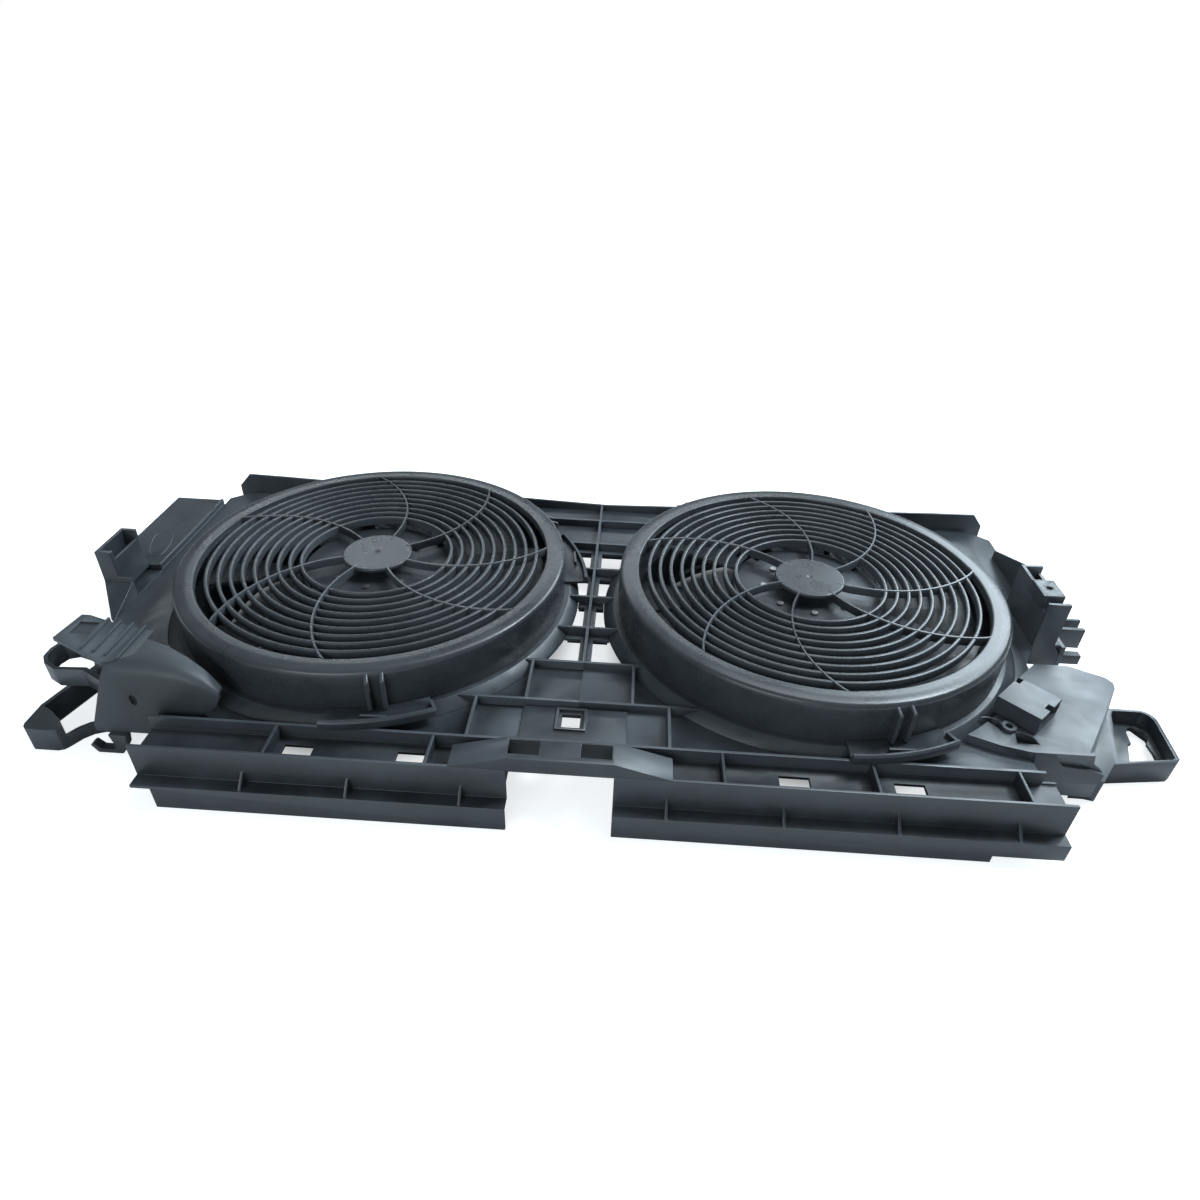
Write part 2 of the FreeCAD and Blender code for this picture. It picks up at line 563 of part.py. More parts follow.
# Arch over the notch, with two rectangular holes
arch = body("rail_arch")
extrude(arch, "arch_plate", "XZ_Plane", [
    ("-(notch_left_x + arch_run)", "rib_top"), ("-notch_left_x", "arch_top"), ("notch_right_x", "arch_top"),
    ("notch_right_x + arch_run", "rib_top"), ("notch_right_x + arch_run - 9", "rib_top"),
    ("notch_right_x - 1", "arch_top - sheet_wall"), ("-(notch_left_x - 1)", "arch_top - sheet_wall"),
    ("-(notch_left_x + arch_run - 9)", "rib_top"),
], "-face_y", "arch_deep")
extrude(arch, "arch_face", "XZ_Plane", [
    ("-(notch_left_x + arch_run - 9)", "rib_top"), ("-notch_left_x", "rib_top"),
    ("-notch_left_x", "rib_top - 1"),
    ("notch_right_x", "rib_top - 1"), ("notch_right_x", "rib_top"),
    ("notch_right_x + arch_run - 9", "rib_top"),
    ("notch_right_x - 1", "arch_top - 1"), ("-(notch_left_x - 1)", "arch_top - 1"),
], "-face_y", "sheet_wall")
extrude(arch, "arch_back_wall", "XZ_Plane", [
    ("-notch_left_x", "panel_top - 1"), ("notch_right_x", "panel_top - 1"), ("notch_right_x", "arch_top - 1"),
    ("-notch_left_x", "arch_top - 1"),
], "-arch_back - rib_wall", "rib_wall")
block(arch, "arch_floor", ("-notch_left_x", "-arch_back - rib_wall", "panel_top - sheet_wall"),
      ("notch_right_x", "-panel_front", "panel_top"))
for number, across in enumerate(("-notch_left_x + 1", "notch_right_x - 2 - slot_long")):
    block(arch, "arch_hole_%d" % number, (across, "-(face_y - 5)", "arch_top - 6"),
          ("%s + slot_long" % across, "-(arch_back + 3)", "arch_top + 1"), cut=True)
place(arch)

# Catch plate: the raised panel behind the arch, with its framed square hole
catch = body("catch_plate")
block(catch, "catch_pad", ("-catch_left", "-(panel_front - rib_wall)", "panel_top"),
      ("catch_right", "-(rung_first_y + rib_wall)", "panel_top + catch_thick"))
block(catch, "catch_plug", ("-catch_left + catch_lap", "-(panel_front - rib_wall) + catch_lap",
                            "panel_top - sheet_wall"),
      ("catch_right - catch_lap", "-(rung_first_y + rib_wall) - catch_lap", "panel_top"))
block(catch, "catch_frame_wall", ("catch_x - catch_frame / 2", "-(panel_front - catch_y) - catch_frame / 2",
                                  "panel_top"),
      ("catch_x + catch_frame / 2", "-(panel_front - catch_y) + catch_frame / 2",
       "panel_top + catch_thick + 1.5"))
block(catch, "catch_recess", ("catch_x - catch_frame / 2 + rib_wall",
                              "-(panel_front - catch_y) - catch_frame / 2 + rib_wall",
                              "panel_top + 1"),
      ("catch_x + catch_frame / 2 - rib_wall", "-(panel_front - catch_y) + catch_frame / 2 - rib_wall",
       "rim_top"), cut=True)
block(catch, "catch_opening", ("catch_x - catch_hole / 2", "-(panel_front - catch_y) - catch_hole / 2", "0"),
      ("catch_x + catch_hole / 2", "-(panel_front - catch_y) + catch_hole / 2", "rim_top"), cut=True)
place(catch)

# Guard grille: the top of the moulding, with centre disc, seven curved spokes, nine rings and flat rim
guard = body("guard_grille_tool")
drum(guard, "disc", "disc_r", "rim_top - disc_thick", "rim_top - 1")
spoke_ends = [-131, -89, -30, 9, 59, 105, 162]
spoke_lead = 27.5


def spoke_sketch(name, turn):
    """The bow of a spoke: two arcs about one centre, closed by two short lines."""
    sketch = new_sketch(guard, name + "_sketch", "XY_Plane", ("0", "0", "rim_top - grille_deep"))
    sketch.AttachmentOffset.Rotation = FreeCAD.Rotation(FreeCAD.Vector(0, 0, 1), turn)
    bow = size["spoke_bow_r"]
    half = size["spoke_wall"] / 2
    centre = FreeCAD.Vector(size["disc_r"], bow, 0)
    start = math.radians(-92)
    stop = math.radians(size["spoke_bow_deg"] - 90)
    for radius in (bow + half, bow - half):
        circle = Part.Circle(centre, FreeCAD.Vector(0, 0, 1), radius)
        sketch.addGeometry(Part.ArcOfCircle(circle, start, stop), False)
    outer, inner = sketch.Geometry[0], sketch.Geometry[1]
    sketch.addGeometry(Part.LineSegment(outer.StartPoint, inner.StartPoint), False)
    sketch.addGeometry(Part.LineSegment(outer.EndPoint, inner.EndPoint), False)
    for first, first_end, second, second_end in ((2, 1, 0, 1), (2, 2, 1, 1), (3, 1, 0, 2), (3, 2, 1, 2),
                                                 (0, 3, 1, 3)):
        sketch.addConstraint(Sketcher.Constraint("Coincident", first, first_end, second, second_end))
    sketch.addConstraint(Sketcher.Constraint("Vertical", 2))
    sketch.addConstraint(Sketcher.Constraint("Vertical", 3))
    held = (
        (("DistanceX", -1, 1, 0, 3, centre.x), "disc_r"),
        (("DistanceY", -1, 1, 0, 3, centre.y), "spoke_bow_r"),
        (("Radius", 0, bow + half), "spoke_bow_r + spoke_wall / 2"),
        (("Radius", 1, bow - half), "spoke_bow_r - spoke_wall / 2"),
        (("DistanceX", -1, 1, 0, 1, outer.StartPoint.x), "disc_r - 4"),
        (("DistanceX", -1, 1, 0, 2, outer.EndPoint.x), "disc_r + spoke_bow_r * sin(spoke_bow_deg)"),
    )
    for values, text in held:
        number = sketch.addConstraint(Sketcher.Constraint(*values))
        sketch.setExpression("Constraints[%d]" % number, formula(text))
    return sketch


for number, end in enumerate(spoke_ends):
    spoke = guard.newObject("PartDesign::Pad", "spoke_%d" % number)
    spoke.Profile = spoke_sketch("spoke_%d" % number, end - spoke_lead)
    spoke.Refine = False
    bind(spoke, {"Length": "grille_deep - 0.5"})
ring_loops = []
for number in range(size["ring_count"]):
    middle = "(ring_first_r + %d * (ring_last_r - ring_first_r) / (ring_count - 1))" % number
    ring_loops.append([
        (middle + " - ring_wall / 2", "rim_top - grille_deep"),
        (middle + " + ring_wall / 2", "rim_top - grille_deep"),
        (middle + " + ring_wall / 2", "rim_top - 0.5"), (middle + " - ring_wall / 2", "rim_top - 0.5"),
    ])
turned(guard, "rings", ring_loops).Refine = False
turned(guard, "spoke_trim", [[
    ("grille_r + 1", "rim_top - grille_deep - 1"), ("rim_r + 30", "rim_top - grille_deep - 1"),
    ("rim_r + 30", "rim_top + 1"), ("grille_r + 1", "rim_top + 1"),
]], cut=True)
turned(guard, "rim", [[
    ("grille_r", "rim_top"), ("grille_r", "rim_top - grille_deep"),
    ("grille_r + rim_wall", "rim_top - grille_deep"),
    ("grille_r + rim_wall", "rim_top - rim_wall"), ("rim_r - rim_wall", "rim_top - rim_wall - 2"),
    ("rim_r - rim_wall", "rim_top - rim_split"), ("rim_r", "rim_top - rim_split"),
    ("rim_r", "rim_top - rim_fillet"),
    ("rim_r - rim_fillet * 0.3", "rim_top - rim_fillet * 0.3"), ("rim_r - rim_fillet", "rim_top"),
]])
drum(guard, "dimple", "dimple_r", "rim_top - 1.8", "rim_top", cut=True)

# Guard rim: the upright wall of the moulding, with three pairs of ears
rim = body("guard_rim_tool")
turned(rim, "rim_wall_ring", [[
    ("rim_r - rim_wall", "rib_top"), ("rim_r", "rib_top"), ("rim_r", "rim_top - rim_split"),
    ("rim_r - rim_wall", "rim_top - rim_split"),
]])
ear_angles = (-75, 30, 129)
latch_angles = (-75, 20, 129)
for number, angle in enumerate(ear_angles):
    for part_of, shift in (("a", "-ear_split / 2"), ("b", "ear_split / 2 - ear_wall")):
        ear = rim.newObject("PartDesign::AdditiveBox", "guard_ear_%d%s" % (number, part_of))
        turn = FreeCAD.Rotation(FreeCAD.Vector(0, 0, 1), angle)
        ear.Placement = FreeCAD.Placement(FreeCAD.Vector(0, 0, 0), turn)
        cosine = math.cos(math.radians(angle))
        sine = math.sin(math.radians(angle))
        bind(ear, {
            "Length": "ear_reach + rim_wall / 2",
            "Width": "ear_wall",
            "Height": "rim_top - rim_split - rib_top - latch_floor - bolted_gap",
            "Placement.Base.x": "(rim_r - rim_wall / 2) * %.6f - (%s) * %.6f" % (cosine, shift, sine),
            "Placement.Base.y": "(rim_r - rim_wall / 2) * %.6f + (%s) * %.6f" % (sine, shift, cosine),
            "Placement.Base.z": "rib_top + latch_floor + bolted_gap",
        })
for side, sign in (("left", "-"), ("right", "")):
    place(copy_of(guard, "guard_grille_" + side), sign + "fan_spacing / 2")
    place(copy_of(rim, "guard_rim_" + side), sign + "fan_spacing / 2")

# Guard latches: curved shelves on the shroud under each guard ear
latch = body("latch_tool")
latch_sketch = new_sketch(latch, "latch_sketch", "XZ_Plane", ("0", "0", "0"))
draw_loop(latch_sketch, [
    ("rim_r + bolted_gap", "rib_top"), ("rim_r + latch_reach", "rib_top"),
    ("rim_r + latch_reach", "rib_top + latch_tall - 1.5"),
    ("rim_r + latch_reach - 1.5", "rib_top + latch_tall"),
    ("rim_r + latch_reach - 3", "rib_top + latch_tall"),
    ("rim_r + latch_reach - 3.6", "rib_top + latch_floor"),
    ("rim_r + bolted_gap", "rib_top + latch_floor"),
])
latch_turn = latch.newObject("PartDesign::Revolution", "latch_shelf")
latch_turn.Profile = latch_sketch
latch_turn.ReferenceAxis = (latch_sketch, ["V_Axis"])
bind(latch_turn, {"Angle": "latch_sweep"})
extrude(latch, "latch_inner", "XY_Plane", [
    ("rim_r + 9", "26"), ("rim_r + 11", "26"), ("rim_r + 11", "44"), ("rim_r + 9", "44"),
], "rib_top", "latch_tall - 1")
latch_end = latch.newObject("PartDesign::AdditiveBox", "latch_end")
bind(latch_end, {
    "Length": "latch_reach - ear_reach - 4", "Width": "rib_wall", "Height": "latch_tall - 1",
    "Placement.Base.x": "(rim_r + ear_reach + 3) * cos(latch_sweep * 1deg)",
    "Placement.Base.y": "(rim_r + ear_reach + 3) * sin(latch_sweep * 1deg) - rib_wall",
    "Placement.Base.z": "rib_top", "Placement.Rotation.Angle": "latch_sweep",
})

doc.recompute()

# Fan: cup-shaped hub with a shaft boss and swept blades
fan = body("fan_tool")
turned(fan, "hub", [[
    ("shaft_r + shaft_press", "hub_top - boss_tall"), ("boss_r", "hub_top - boss_tall"),
    ("boss_r", "hub_top - hub_wall"),
    ("hub_r - hub_wall", "hub_top - hub_wall"), ("hub_r - hub_wall", "hub_foot"), ("hub_r", "hub_foot"),
    ("hub_r", "hub_top - 2"), ("hub_r - 2", "hub_top"), ("shaft_r + shaft_press", "hub_top"),
]])
stations = (("hub_r - 1.5", "blade_root", "root_pitch"), ("fan_tip_r + 4", "blade_tip", "tip_pitch"))
sections = []
for number, (radius, chord, pitch) in enumerate(stations):
    section = new_sketch(fan, "blade_section_%d" % number, "YZ_Plane", ("0", "0", radius))
    upper = []
    lower = []
    for share, camber in ((-0.5, 0), (-0.25, 0.045), (0, 0.06), (0.25, 0.045), (0.5, 0)):
        along = "%.3f * %s" % (share, chord)
        across = "%.3f * %s" % (camber, chord)
        for points, half in ((upper, "blade_thick / 2"), (lower, "-blade_thick / 2")):
            points.append((
                "(%s) * cos(%s) - (%s + %s) * sin(%s)" % (along, pitch, across, half, pitch),
                "blade_mid + (%s) * sin(%s) + (%s + %s) * cos(%s)" % (along, pitch, across, half, pitch),
            ))
    draw_loop(section, upper + lower[::-1])
    sections.append(section)
blade = fan.newObject("PartDesign::AdditiveLoft", "blade")
blade.Profile = sections[0]
blade.Sections = [sections[1]]
blade.Ruled = True
polar(fan, "blades", [blade], "blade_count")
turned(fan, "tip_trim", [[
    ("fan_tip_r", "0"), ("fan_tip_r + 60", "0"), ("fan_tip_r + 60", "rim_top"), ("fan_tip_r", "rim_top"),
]], cut=True)
drum(fan, "hub_clear", "hub_r - hub_wall", "hub_foot - 30", "hub_top - boss_tall", cut=True)
for number in range(4):
    notch = fan.newObject("PartDesign::SubtractiveBox", "hub_notch_%d" % number)
    angle = 35 + 90 * number
    turn = FreeCAD.Rotation(FreeCAD.Vector(0, 0, 1), angle)
    notch.Placement = FreeCAD.Placement(FreeCAD.Vector(0, 0, 0), turn)
    bind(notch, {
        "Length": "6", "Width": "9", "Height": "6",
        "Placement.Base.x": "(hub_r - 9) * %.6f" % math.cos(math.radians(angle)),
        "Placement.Base.y": "(hub_r - 9) * %.6f" % math.sin(math.radians(angle)),
        "Placement.Base.z": "hub_top - 3",
    })

rivets = body("rivet_tool")
drum(rivets, "rivet", "rivet_r", "hub_top", "hub_top + rivet_tall", "rivet_circle")
polar(rivets, "rivet_ring", [rivets.Tip], "rivet_count")

shaft = body("shaft_tool")
drum(shaft, "shaft_rod", "shaft_r", "can_foot + air_gap", "shaft_top")

shaft_clip = body("clip_tool")
turned(shaft_clip, "clip_disc", [[
    ("shaft_r + shaft_press", "hub_top"), ("nut_r", "hub_top"), ("nut_r", "hub_top + nut_tall"),
    ("shaft_r + shaft_press", "hub_top + nut_tall"),
]])

# Motor: can, end cap, bearing bush and fixings
can = body("can_tool")
turned(can, "can_shell", [[
    ("can_r - can_wall", "can_foot"), ("can_r", "can_foot"), ("can_r", "can_top - 5"),
    ("can_r - 5", "can_top - 1"),
    ("bearing_r + 4", "can_top - 1"), ("bearing_r + 3", "can_top"), ("bearing_r", "can_top"),
    ("bearing_r", "can_top - bearing_tall"), ("bearing_r + can_wall", "can_top - bearing_tall"),
    ("bearing_r + can_wall", "can_top - 1 - can_wall"),
    ("can_r - 5 - can_wall / 2", "can_top - 1 - can_wall"),
    ("can_r - can_wall", "can_top - 5 - can_wall / 2"),
]])
lug = drum(can, "lug", "lug_r", "lug_foot", "lug_foot + lug_thick", "lug_circle")
lug_arm = block(can, "lug_arm", ("can_r - can_wall / 2", "-lug_r", "lug_foot"),
                ("lug_circle", "lug_r", "lug_foot + lug_thick"))
polar(can, "lugs", [lug, lug_arm], "lug_count")
lug_hole = drum(can, "lug_hole", "screw_r + bolted_gap", "0", "can_top / 2", "lug_circle", cut=True)
polar(can, "lug_holes", [lug_hole], "lug_count")

cap = body("cap_tool")
turned(cap, "cap_shell", [[
    ("0", "0"), ("cap_r - 3", "0"), ("cap_r", "3"), ("cap_r", "can_foot - 3"), ("can_r", "can_foot - 3"),
    ("can_r", "can_foot"), ("bearing_r + can_wall", "can_foot"),
    ("bearing_r + can_wall", "can_foot + bearing_tall"),
    ("bearing_r", "can_foot + bearing_tall"), ("bearing_r", "can_foot"), ("0", "can_foot"),
]])

bearings = body("bearing_tool")
turned(bearings, "bearing_bushes", [[
    ("shaft_r + shaft_fit", low), ("bearing_r", low), ("bearing_r", high), ("shaft_r + shaft_fit", high),
] for low, high in (("can_top - bearing_tall", "can_top"), ("can_foot", "can_foot + bearing_tall"))])

armature = body("armature_tool")
turned(armature, "armature_core", [[
    ("shaft_r + shaft_press", "armature_low"), ("can_r - can_wall - magnet_thick - air_gap", "armature_low"),
    ("can_r - can_wall - magnet_thick - air_gap", "armature_high"),
    ("shaft_r + shaft_press", "armature_high"),
]])

magnets = body("magnet_tool")
turned(magnets, "magnet_ring", [[
    ("can_r - can_wall - magnet_thick", "armature_low"), ("can_r - can_wall", "armature_low"),
    ("can_r - can_wall", "armature_high"), ("can_r - can_wall - magnet_thick", "armature_high"),
]])
block(magnets, "magnet_split", ("-can_r", "-4", "can_foot"), ("can_r", "4", "can_top"), cut=True)

carrier = body("carrier_tool")
turned(carrier, "carrier_ring", [[
    ("can_r + bolted_gap", "carrier_foot"), ("carrier_ring_r", "carrier_foot"),
    ("carrier_ring_r", "carrier_foot + carrier_tall"), ("can_r + bolted_gap", "carrier_foot + carrier_tall"),
]])
strut = block(carrier, "strut", ("carrier_ring_r - 2", "-strut_wall / 2", "carrier_foot"),
              ("duct_r - flange_in - bolted_gap", "strut_wall / 2", "duct_foot"))
polar(carrier, "struts", [strut], "strut_count")
screw_hole = drum(carrier, "screw_hole", "screw_r", "carrier_foot - 1", "carrier_foot + carrier_tall + 1",
                  "lug_circle", cut=True)
polar(carrier, "screw_holes", [screw_hole], "lug_count")

bushes = body("bush_tool")
drum(bushes, "bush", "bush_r", "carrier_foot + carrier_tall", "lug_foot", "lug_circle")
polar(bushes, "bush_ring", [bushes.Tip], "lug_count")
bush_hole = drum(bushes, "bush_hole", "screw_r + bolted_gap", "0", "can_top / 2", "lug_circle", cut=True)
polar(bushes, "bush_holes", [bush_hole], "lug_count")

screws = body("screw_tool")
shank = drum(screws, "shank", "screw_r", "carrier_foot + 1", "lug_foot + lug_thick + 1", "lug_circle")
head = drum(screws, "head", "screw_head_r", "lug_foot + lug_thick", "lug_foot + lug_thick + screw_head",
            "lug_circle")
polar(screws, "screw_ring", [shank, head], "lug_count")

doc.recompute()

for side, sign in (("left", "-"), ("right", "")):
    across = sign + "fan_spacing / 2"
    for master, label in (
            (fan, "fan"), (rivets, "hub_rivets"), (shaft, "motor_shaft"), (shaft_clip, "shaft_clip"),
            (armature, "motor_armature"), (magnets, "motor_magnets"), (can, "motor_can"),
            (cap, "motor_end_cap"),
            (bearings, "motor_bearings"), (carrier, "motor_carrier"), (bushes, "motor_bushes"),
            (screws, "motor_screws")):
        place(copy_of(master, "%s_%s" % (label, side)), across)

# Cable duct on the left edge, and its snap-on cover with an embossed oval
cable_duct = body("cable_duct")
block(cable_duct, "duct_block", ("-left_reach", "left_post_back", "cable_duct_foot"),
      ("-panel_left", "cable_duct_back", "cable_duct_top"))
block(cable_duct, "duct_hollow", ("-left_reach + sheet_wall", "left_post_back + sheet_wall",
      "cable_duct_foot + sheet_wall"), ("-panel_left - sheet_wall", "cable_duct_back + 1",
                                        "cable_duct_top + 1"), cut=True)
place(cable_duct)

cover = body("cable_duct_cover")
block(cover, "cover_plate", ("-left_reach", "left_post_back", "cable_duct_top"),
      ("-panel_left", "cable_duct_back", "cable_duct_top + cover_thick"))
block(cover, "cover_hollow", ("-left_reach + sheet_wall", "left_post_back + sheet_wall",
                              "cable_duct_top - 1"),
      ("-panel_left - sheet_wall", "cable_duct_back - sheet_wall", "cable_duct_top + cover_thick - 2"),
      cut=True)
block(cover, "cover_edge", ("-panel_left - sheet_wall", "left_post_back", "cable_duct_top + cover_thick"),
      ("-panel_left", "cable_duct_back - 26", "cable_duct_top + cover_thick + cover_rim"))
block(cover, "cover_edge_end", ("-panel_left - sheet_wall", "cable_duct_back - 26 + cover_gap",
                                "cable_duct_top + cover_thick"),
      ("-panel_left", "cable_duct_back", "cable_duct_top + cover_thick + cover_rim"))
place(cover)

# Left post: an open-topped hook post in front of the cable duct
left_post = body("left_hook_post")
block(left_post, "post_leg", ("-left_post_x - 2", "left_post_back - left_post_long", "cable_duct_foot"),
      ("-left_post_x + left_post_wide - 4", "left_post_back", "panel_top + 3"))
block(left_post, "post_head", ("-left_post_x", "left_post_back - left_post_long", "panel_top + 3"),
      ("-left_post_x + left_post_wide", "left_post_back", "rim_top"))
block(left_post, "post_hollow", ("-left_post_x + 2.5", "left_post_back - left_post_long + 4",
                                 "panel_top + 22"),
      ("-left_post_x + left_post_wide - 2.5", "left_post_back - 3", "rim_top + 1"), cut=True)
block(left_post, "post_step", ("-left_post_x + 2.5", "left_post_back - left_post_long + 4", "rim_top - 8"),
      ("-left_post_x + left_post_wide + 1", "left_post_back - 3", "rim_top + 1"), cut=True)
extrude(left_post, "post_web", "XY_Plane", [
    ("-left_post_x", "left_post_back - left_post_long + 1"),
    ("-left_post_x", "left_post_back - left_post_long"),
    ("-panel_left - 4", "left_post_back - left_post_long - 33"),
    ("-panel_left", "left_post_back - left_post_long - 36"),
    ("-panel_left", "left_post_back - left_post_long + 1"),
], "panel_top - sheet_wall", "20")
extrude(left_post, "post_web_slope", "YZ_Plane", [
    ("left_post_back - left_post_long", "panel_top + 20"),
    ("left_post_back - left_post_long", "panel_top + 14"),
    ("left_post_back - left_post_long - 34", "panel_top"),
    ("left_post_back - left_post_long - 37", "panel_top"),
    ("left_post_back - left_post_long - 37", "panel_top + 20"),
], "-left_post_x - 3", "left_post_out + 4", cut=True)
block(left_post, "post_foot", ("-left_post_x - 2", "left_post_back - left_post_long",
                               "panel_top - sheet_wall"),
      ("-panel_left", "left_post_back", "panel_top"))
place(left_post)

# Left bracket: a hood whose shelf bends into an upright face and tapers away to the right
bracket = body("left_bracket")
hood_stations = (
    # across, front, back, top, share of the depth that the bend takes
    ("-hood_left", "-hood_y", "-hood_y + 40", "rim_top", 0.24),
    ("-(hood_left - 28)", "-hood_y", "-hood_y + 35", "rim_top", 0.3),
    ("-(hood_right + 40)", "-hood_y", "-hood_y + 25", "rim_top - 0.5", 0.46),
    ("-(hood_right + 24)", "-hood_y", "-hood_y + 18", "rim_top - 3", 0.5),
    ("-(hood_right + 9)", "-hood_y + 0.5", "-hood_y + 12", "rim_top - 10", 0.5),
    ("-hood_right", "-hood_y + 2", "-hood_y + 9", "rim_top - 20", 0.46),
)
hood_sections = []
bend_turns = [math.radians(angle) for angle in (0, 22.5, 45, 67.5, 90)]
for number, (across, front, back, top, share) in enumerate(hood_stations):
    section = new_sketch(bracket, "hood_section_%d" % number, "YZ_Plane", ("0", "0", across))
    bend = "((%s) - (%s)) * %g" % (back, front, share)
    outer = []
    inner = []
    for turn in bend_turns:
        along = "(%s) + (%s) * %.4f" % (front, bend, 1 - math.cos(turn))
        up = "%s - (%s) * %.4f" % (top, bend, 1 - math.sin(turn))
        outer.append((along, up))
        inner.append((along + " + hood_wall * %.4f" % math.cos(turn),
                      up + " - hood_wall * %.4f" % math.sin(turn)))
    draw_loop(section, [(front, "hood_foot - 1")] + outer + [(back, top),
                                                             (back, top + " - hood_wall")] + inner[::-1]
              + [(front + " + hood_wall", "hood_foot - 1")])
    hood_sections.append(section)
hood = bracket.newObject("PartDesign::AdditiveLoft", "hood")
hood.Profile = hood_sections[0]
hood.Sections = hood_sections[1:]
hood.Ruled = True
extrude(bracket, "hood_underside", "XZ_Plane", [
    ("-hood_left - 1", "0"), ("-(hood_right - 1)", "0"), ("-(hood_right - 1)", "panel_top + 18"),
    ("-(hood_right + 4)", "panel_top + 8"), ("-(hood_right + 16)", "panel_top"),
    ("-(front_left_x + bolted_gap)", "panel_top"), ("-(front_left_x + 9)", "hood_foot"),
    ("-hood_left - 1", "hood_foot"),
], "-hood_y - 1", "60", cut=True)
extrude(bracket, "hood_left_edge", "XZ_Plane", [
    ("-hood_left - 1", "hood_foot + 6"), ("-hood_left", "hood_foot + 6"),
    ("-(hood_left - hood_lean)", "rim_top + 1"),
    ("-hood_left - 1", "rim_top + 1"),
], "-hood_y - 1", "50", cut=True)
extrude(bracket, "shelf", "XY_Plane", [
    ("-shelf_x", "-(hood_y - 26)"), ("-(hood_left - hood_lean + 3)", "-(hood_y - 3)"),
    ("-(hood_left - hood_lean - 8)", "-(hood_y - 8)"), ("-(hood_left - 38)", "-(hood_y - 14)"),
    ("-(hood_left - 38)", "-(shelf_back + 14)"), ("-(shelf_x - 28)", "-(shelf_back + 6)"),
    ("-(shelf_x - 10)", "-shelf_back"), ("-(shelf_x - 4)", "-shelf_back"),
], "rim_top - hood_wall", "hood_wall")
for number in range(4):
    across = "-(shelf_x - 26) + %d * comb_pitch" % number
    block(bracket, "comb_rib_%d" % number, (across, "-(hood_y - 16) - %d * 3" % number,
                                            "rim_top - hood_wall"),
          (across + " + hood_wall / 2", "-(shelf_back + 8) - %d * 2" % number, "rim_top + comb_tall"))
    block(bracket, "comb_loop_%d" % number, (across, "-(shelf_back + 10) - %d * 2" % number, "rim_top - 8"),
          (across + " + hood_wall / 2", "-(shelf_back + 4) - %d * 2" % number, "rim_top + comb_tall"))
extrude(bracket, "face_slot", "XZ_Plane", [
    ("-(hood_left - 36) - face_slot_wide / 4", "rib_top"),
    ("-(hood_left - 36) + face_slot_wide / 4", "rib_top"),
    ("-(hood_left - 36) + face_slot_wide / 2", "rib_top + face_slot_long * 0.3"),
    ("-(hood_left - 36) + face_slot_wide / 2", "rib_top + face_slot_long * 0.7"),
    ("-(hood_left - 36) + face_slot_wide / 4", "rib_top + face_slot_long"),
    ("-(hood_left - 36) - face_slot_wide / 4", "rib_top + face_slot_long"),
    ("-(hood_left - 36) - face_slot_wide / 2", "rib_top + face_slot_long * 0.7"),
    ("-(hood_left - 36) - face_slot_wide / 2", "rib_top + face_slot_long * 0.3"),
], "-hood_y - 5", "20", cut=True)
block(bracket, "shelf_recess", ("-(shelf_x - 8)", "-(hood_y - 32)", "rim_top - 1.5"),
      ("-(shelf_x - 22)", "-(shelf_back + 8)", "rim_top + 5"), cut=True)
place(bracket)

doc.recompute()


def on_line(first, last, share):
    """A corner at a share of the way along a line."""
    return tuple("(%s) + %g * ((%s) - (%s))" % (start, share, stop, start) for start,
                 stop in zip(first, last))


right_foot = ("corner_right", "-chamfer_right_y")
right_toe = ("front_right_x + 3.6", "-step_y + bolted_gap")
left_foot = ("-panel_left", "-chamfer_left_y")
left_toe = ("-(hood_left - 11)", "-(hood_y - 4)")

# Right ear: thin-walled tray with a keyhole in its floor
right_ear = body("right_ear")
extrude(right_ear, "right_ear_outer", "XY_Plane", [
    on_line(right_foot, right_toe, 0.995), ("corner_right - 40", "-(panel_front - 22.5)"),
    ("corner_right - 33", "-(panel_front - 21)"), ("corner_right - 18", "-(panel_front - 39)"),
    ("right_reach - 9", "-(panel_front - 45)"), ("right_reach - 5", "-(panel_front - 48)"),
    ("right_reach - 0.4", "-(chamfer_right_y + 9)"), ("right_reach", "-(chamfer_right_y + 5)"),
    ("right_reach - 1.5", "-chamfer_right_y"), ("right_reach - 4", "-(chamfer_right_y - 3)"),
    ("right_reach - 8", "-(chamfer_right_y - 5)"), ("corner_right + 5", "-(chamfer_right_y - 5)"),
    on_line(right_foot, right_toe, 0.002),
], "0", "ear_tall")
extrude(right_ear, "right_ear_inner", "XY_Plane", [
    ("corner_right - 14", "-(panel_front - 42)"), ("right_reach - 10", "-(panel_front - 47.6)"),
    ("right_reach - 7.6", "-(panel_front - 49.6)"), ("right_reach - 3", "-(chamfer_right_y + 9)"),
    ("right_reach - 2.8", "-(chamfer_right_y + 5)"), ("right_reach - 4", "-(chamfer_right_y + 1)"),
    ("right_reach - 6", "-(chamfer_right_y - 1.2)"), ("right_reach - 9", "-(chamfer_right_y - 2.4)"),
    ("corner_right + 8", "-(chamfer_right_y - 2.4)"), ("corner_right + 5", "-(chamfer_right_y + 2)"),
    ("corner_right - 4", "-(panel_front - 68)"),
], "ear_sill + ear_floor", "ear_tall", cut=True)
extrude(right_ear, "right_ear_below", "XY_Plane", [
    ("corner_right - 14", "-(panel_front - 42)"), ("right_reach - 10", "-(panel_front - 47.6)"),
    ("right_reach - 7.6", "-(panel_front - 49.6)"), ("right_reach - 3", "-(chamfer_right_y + 9)"),
    ("right_reach - 9", "-(chamfer_right_y - 2.4)"), ("corner_right + 8", "-(chamfer_right_y - 2.4)"),
], "-1", "ear_sill + 1", cut=True)
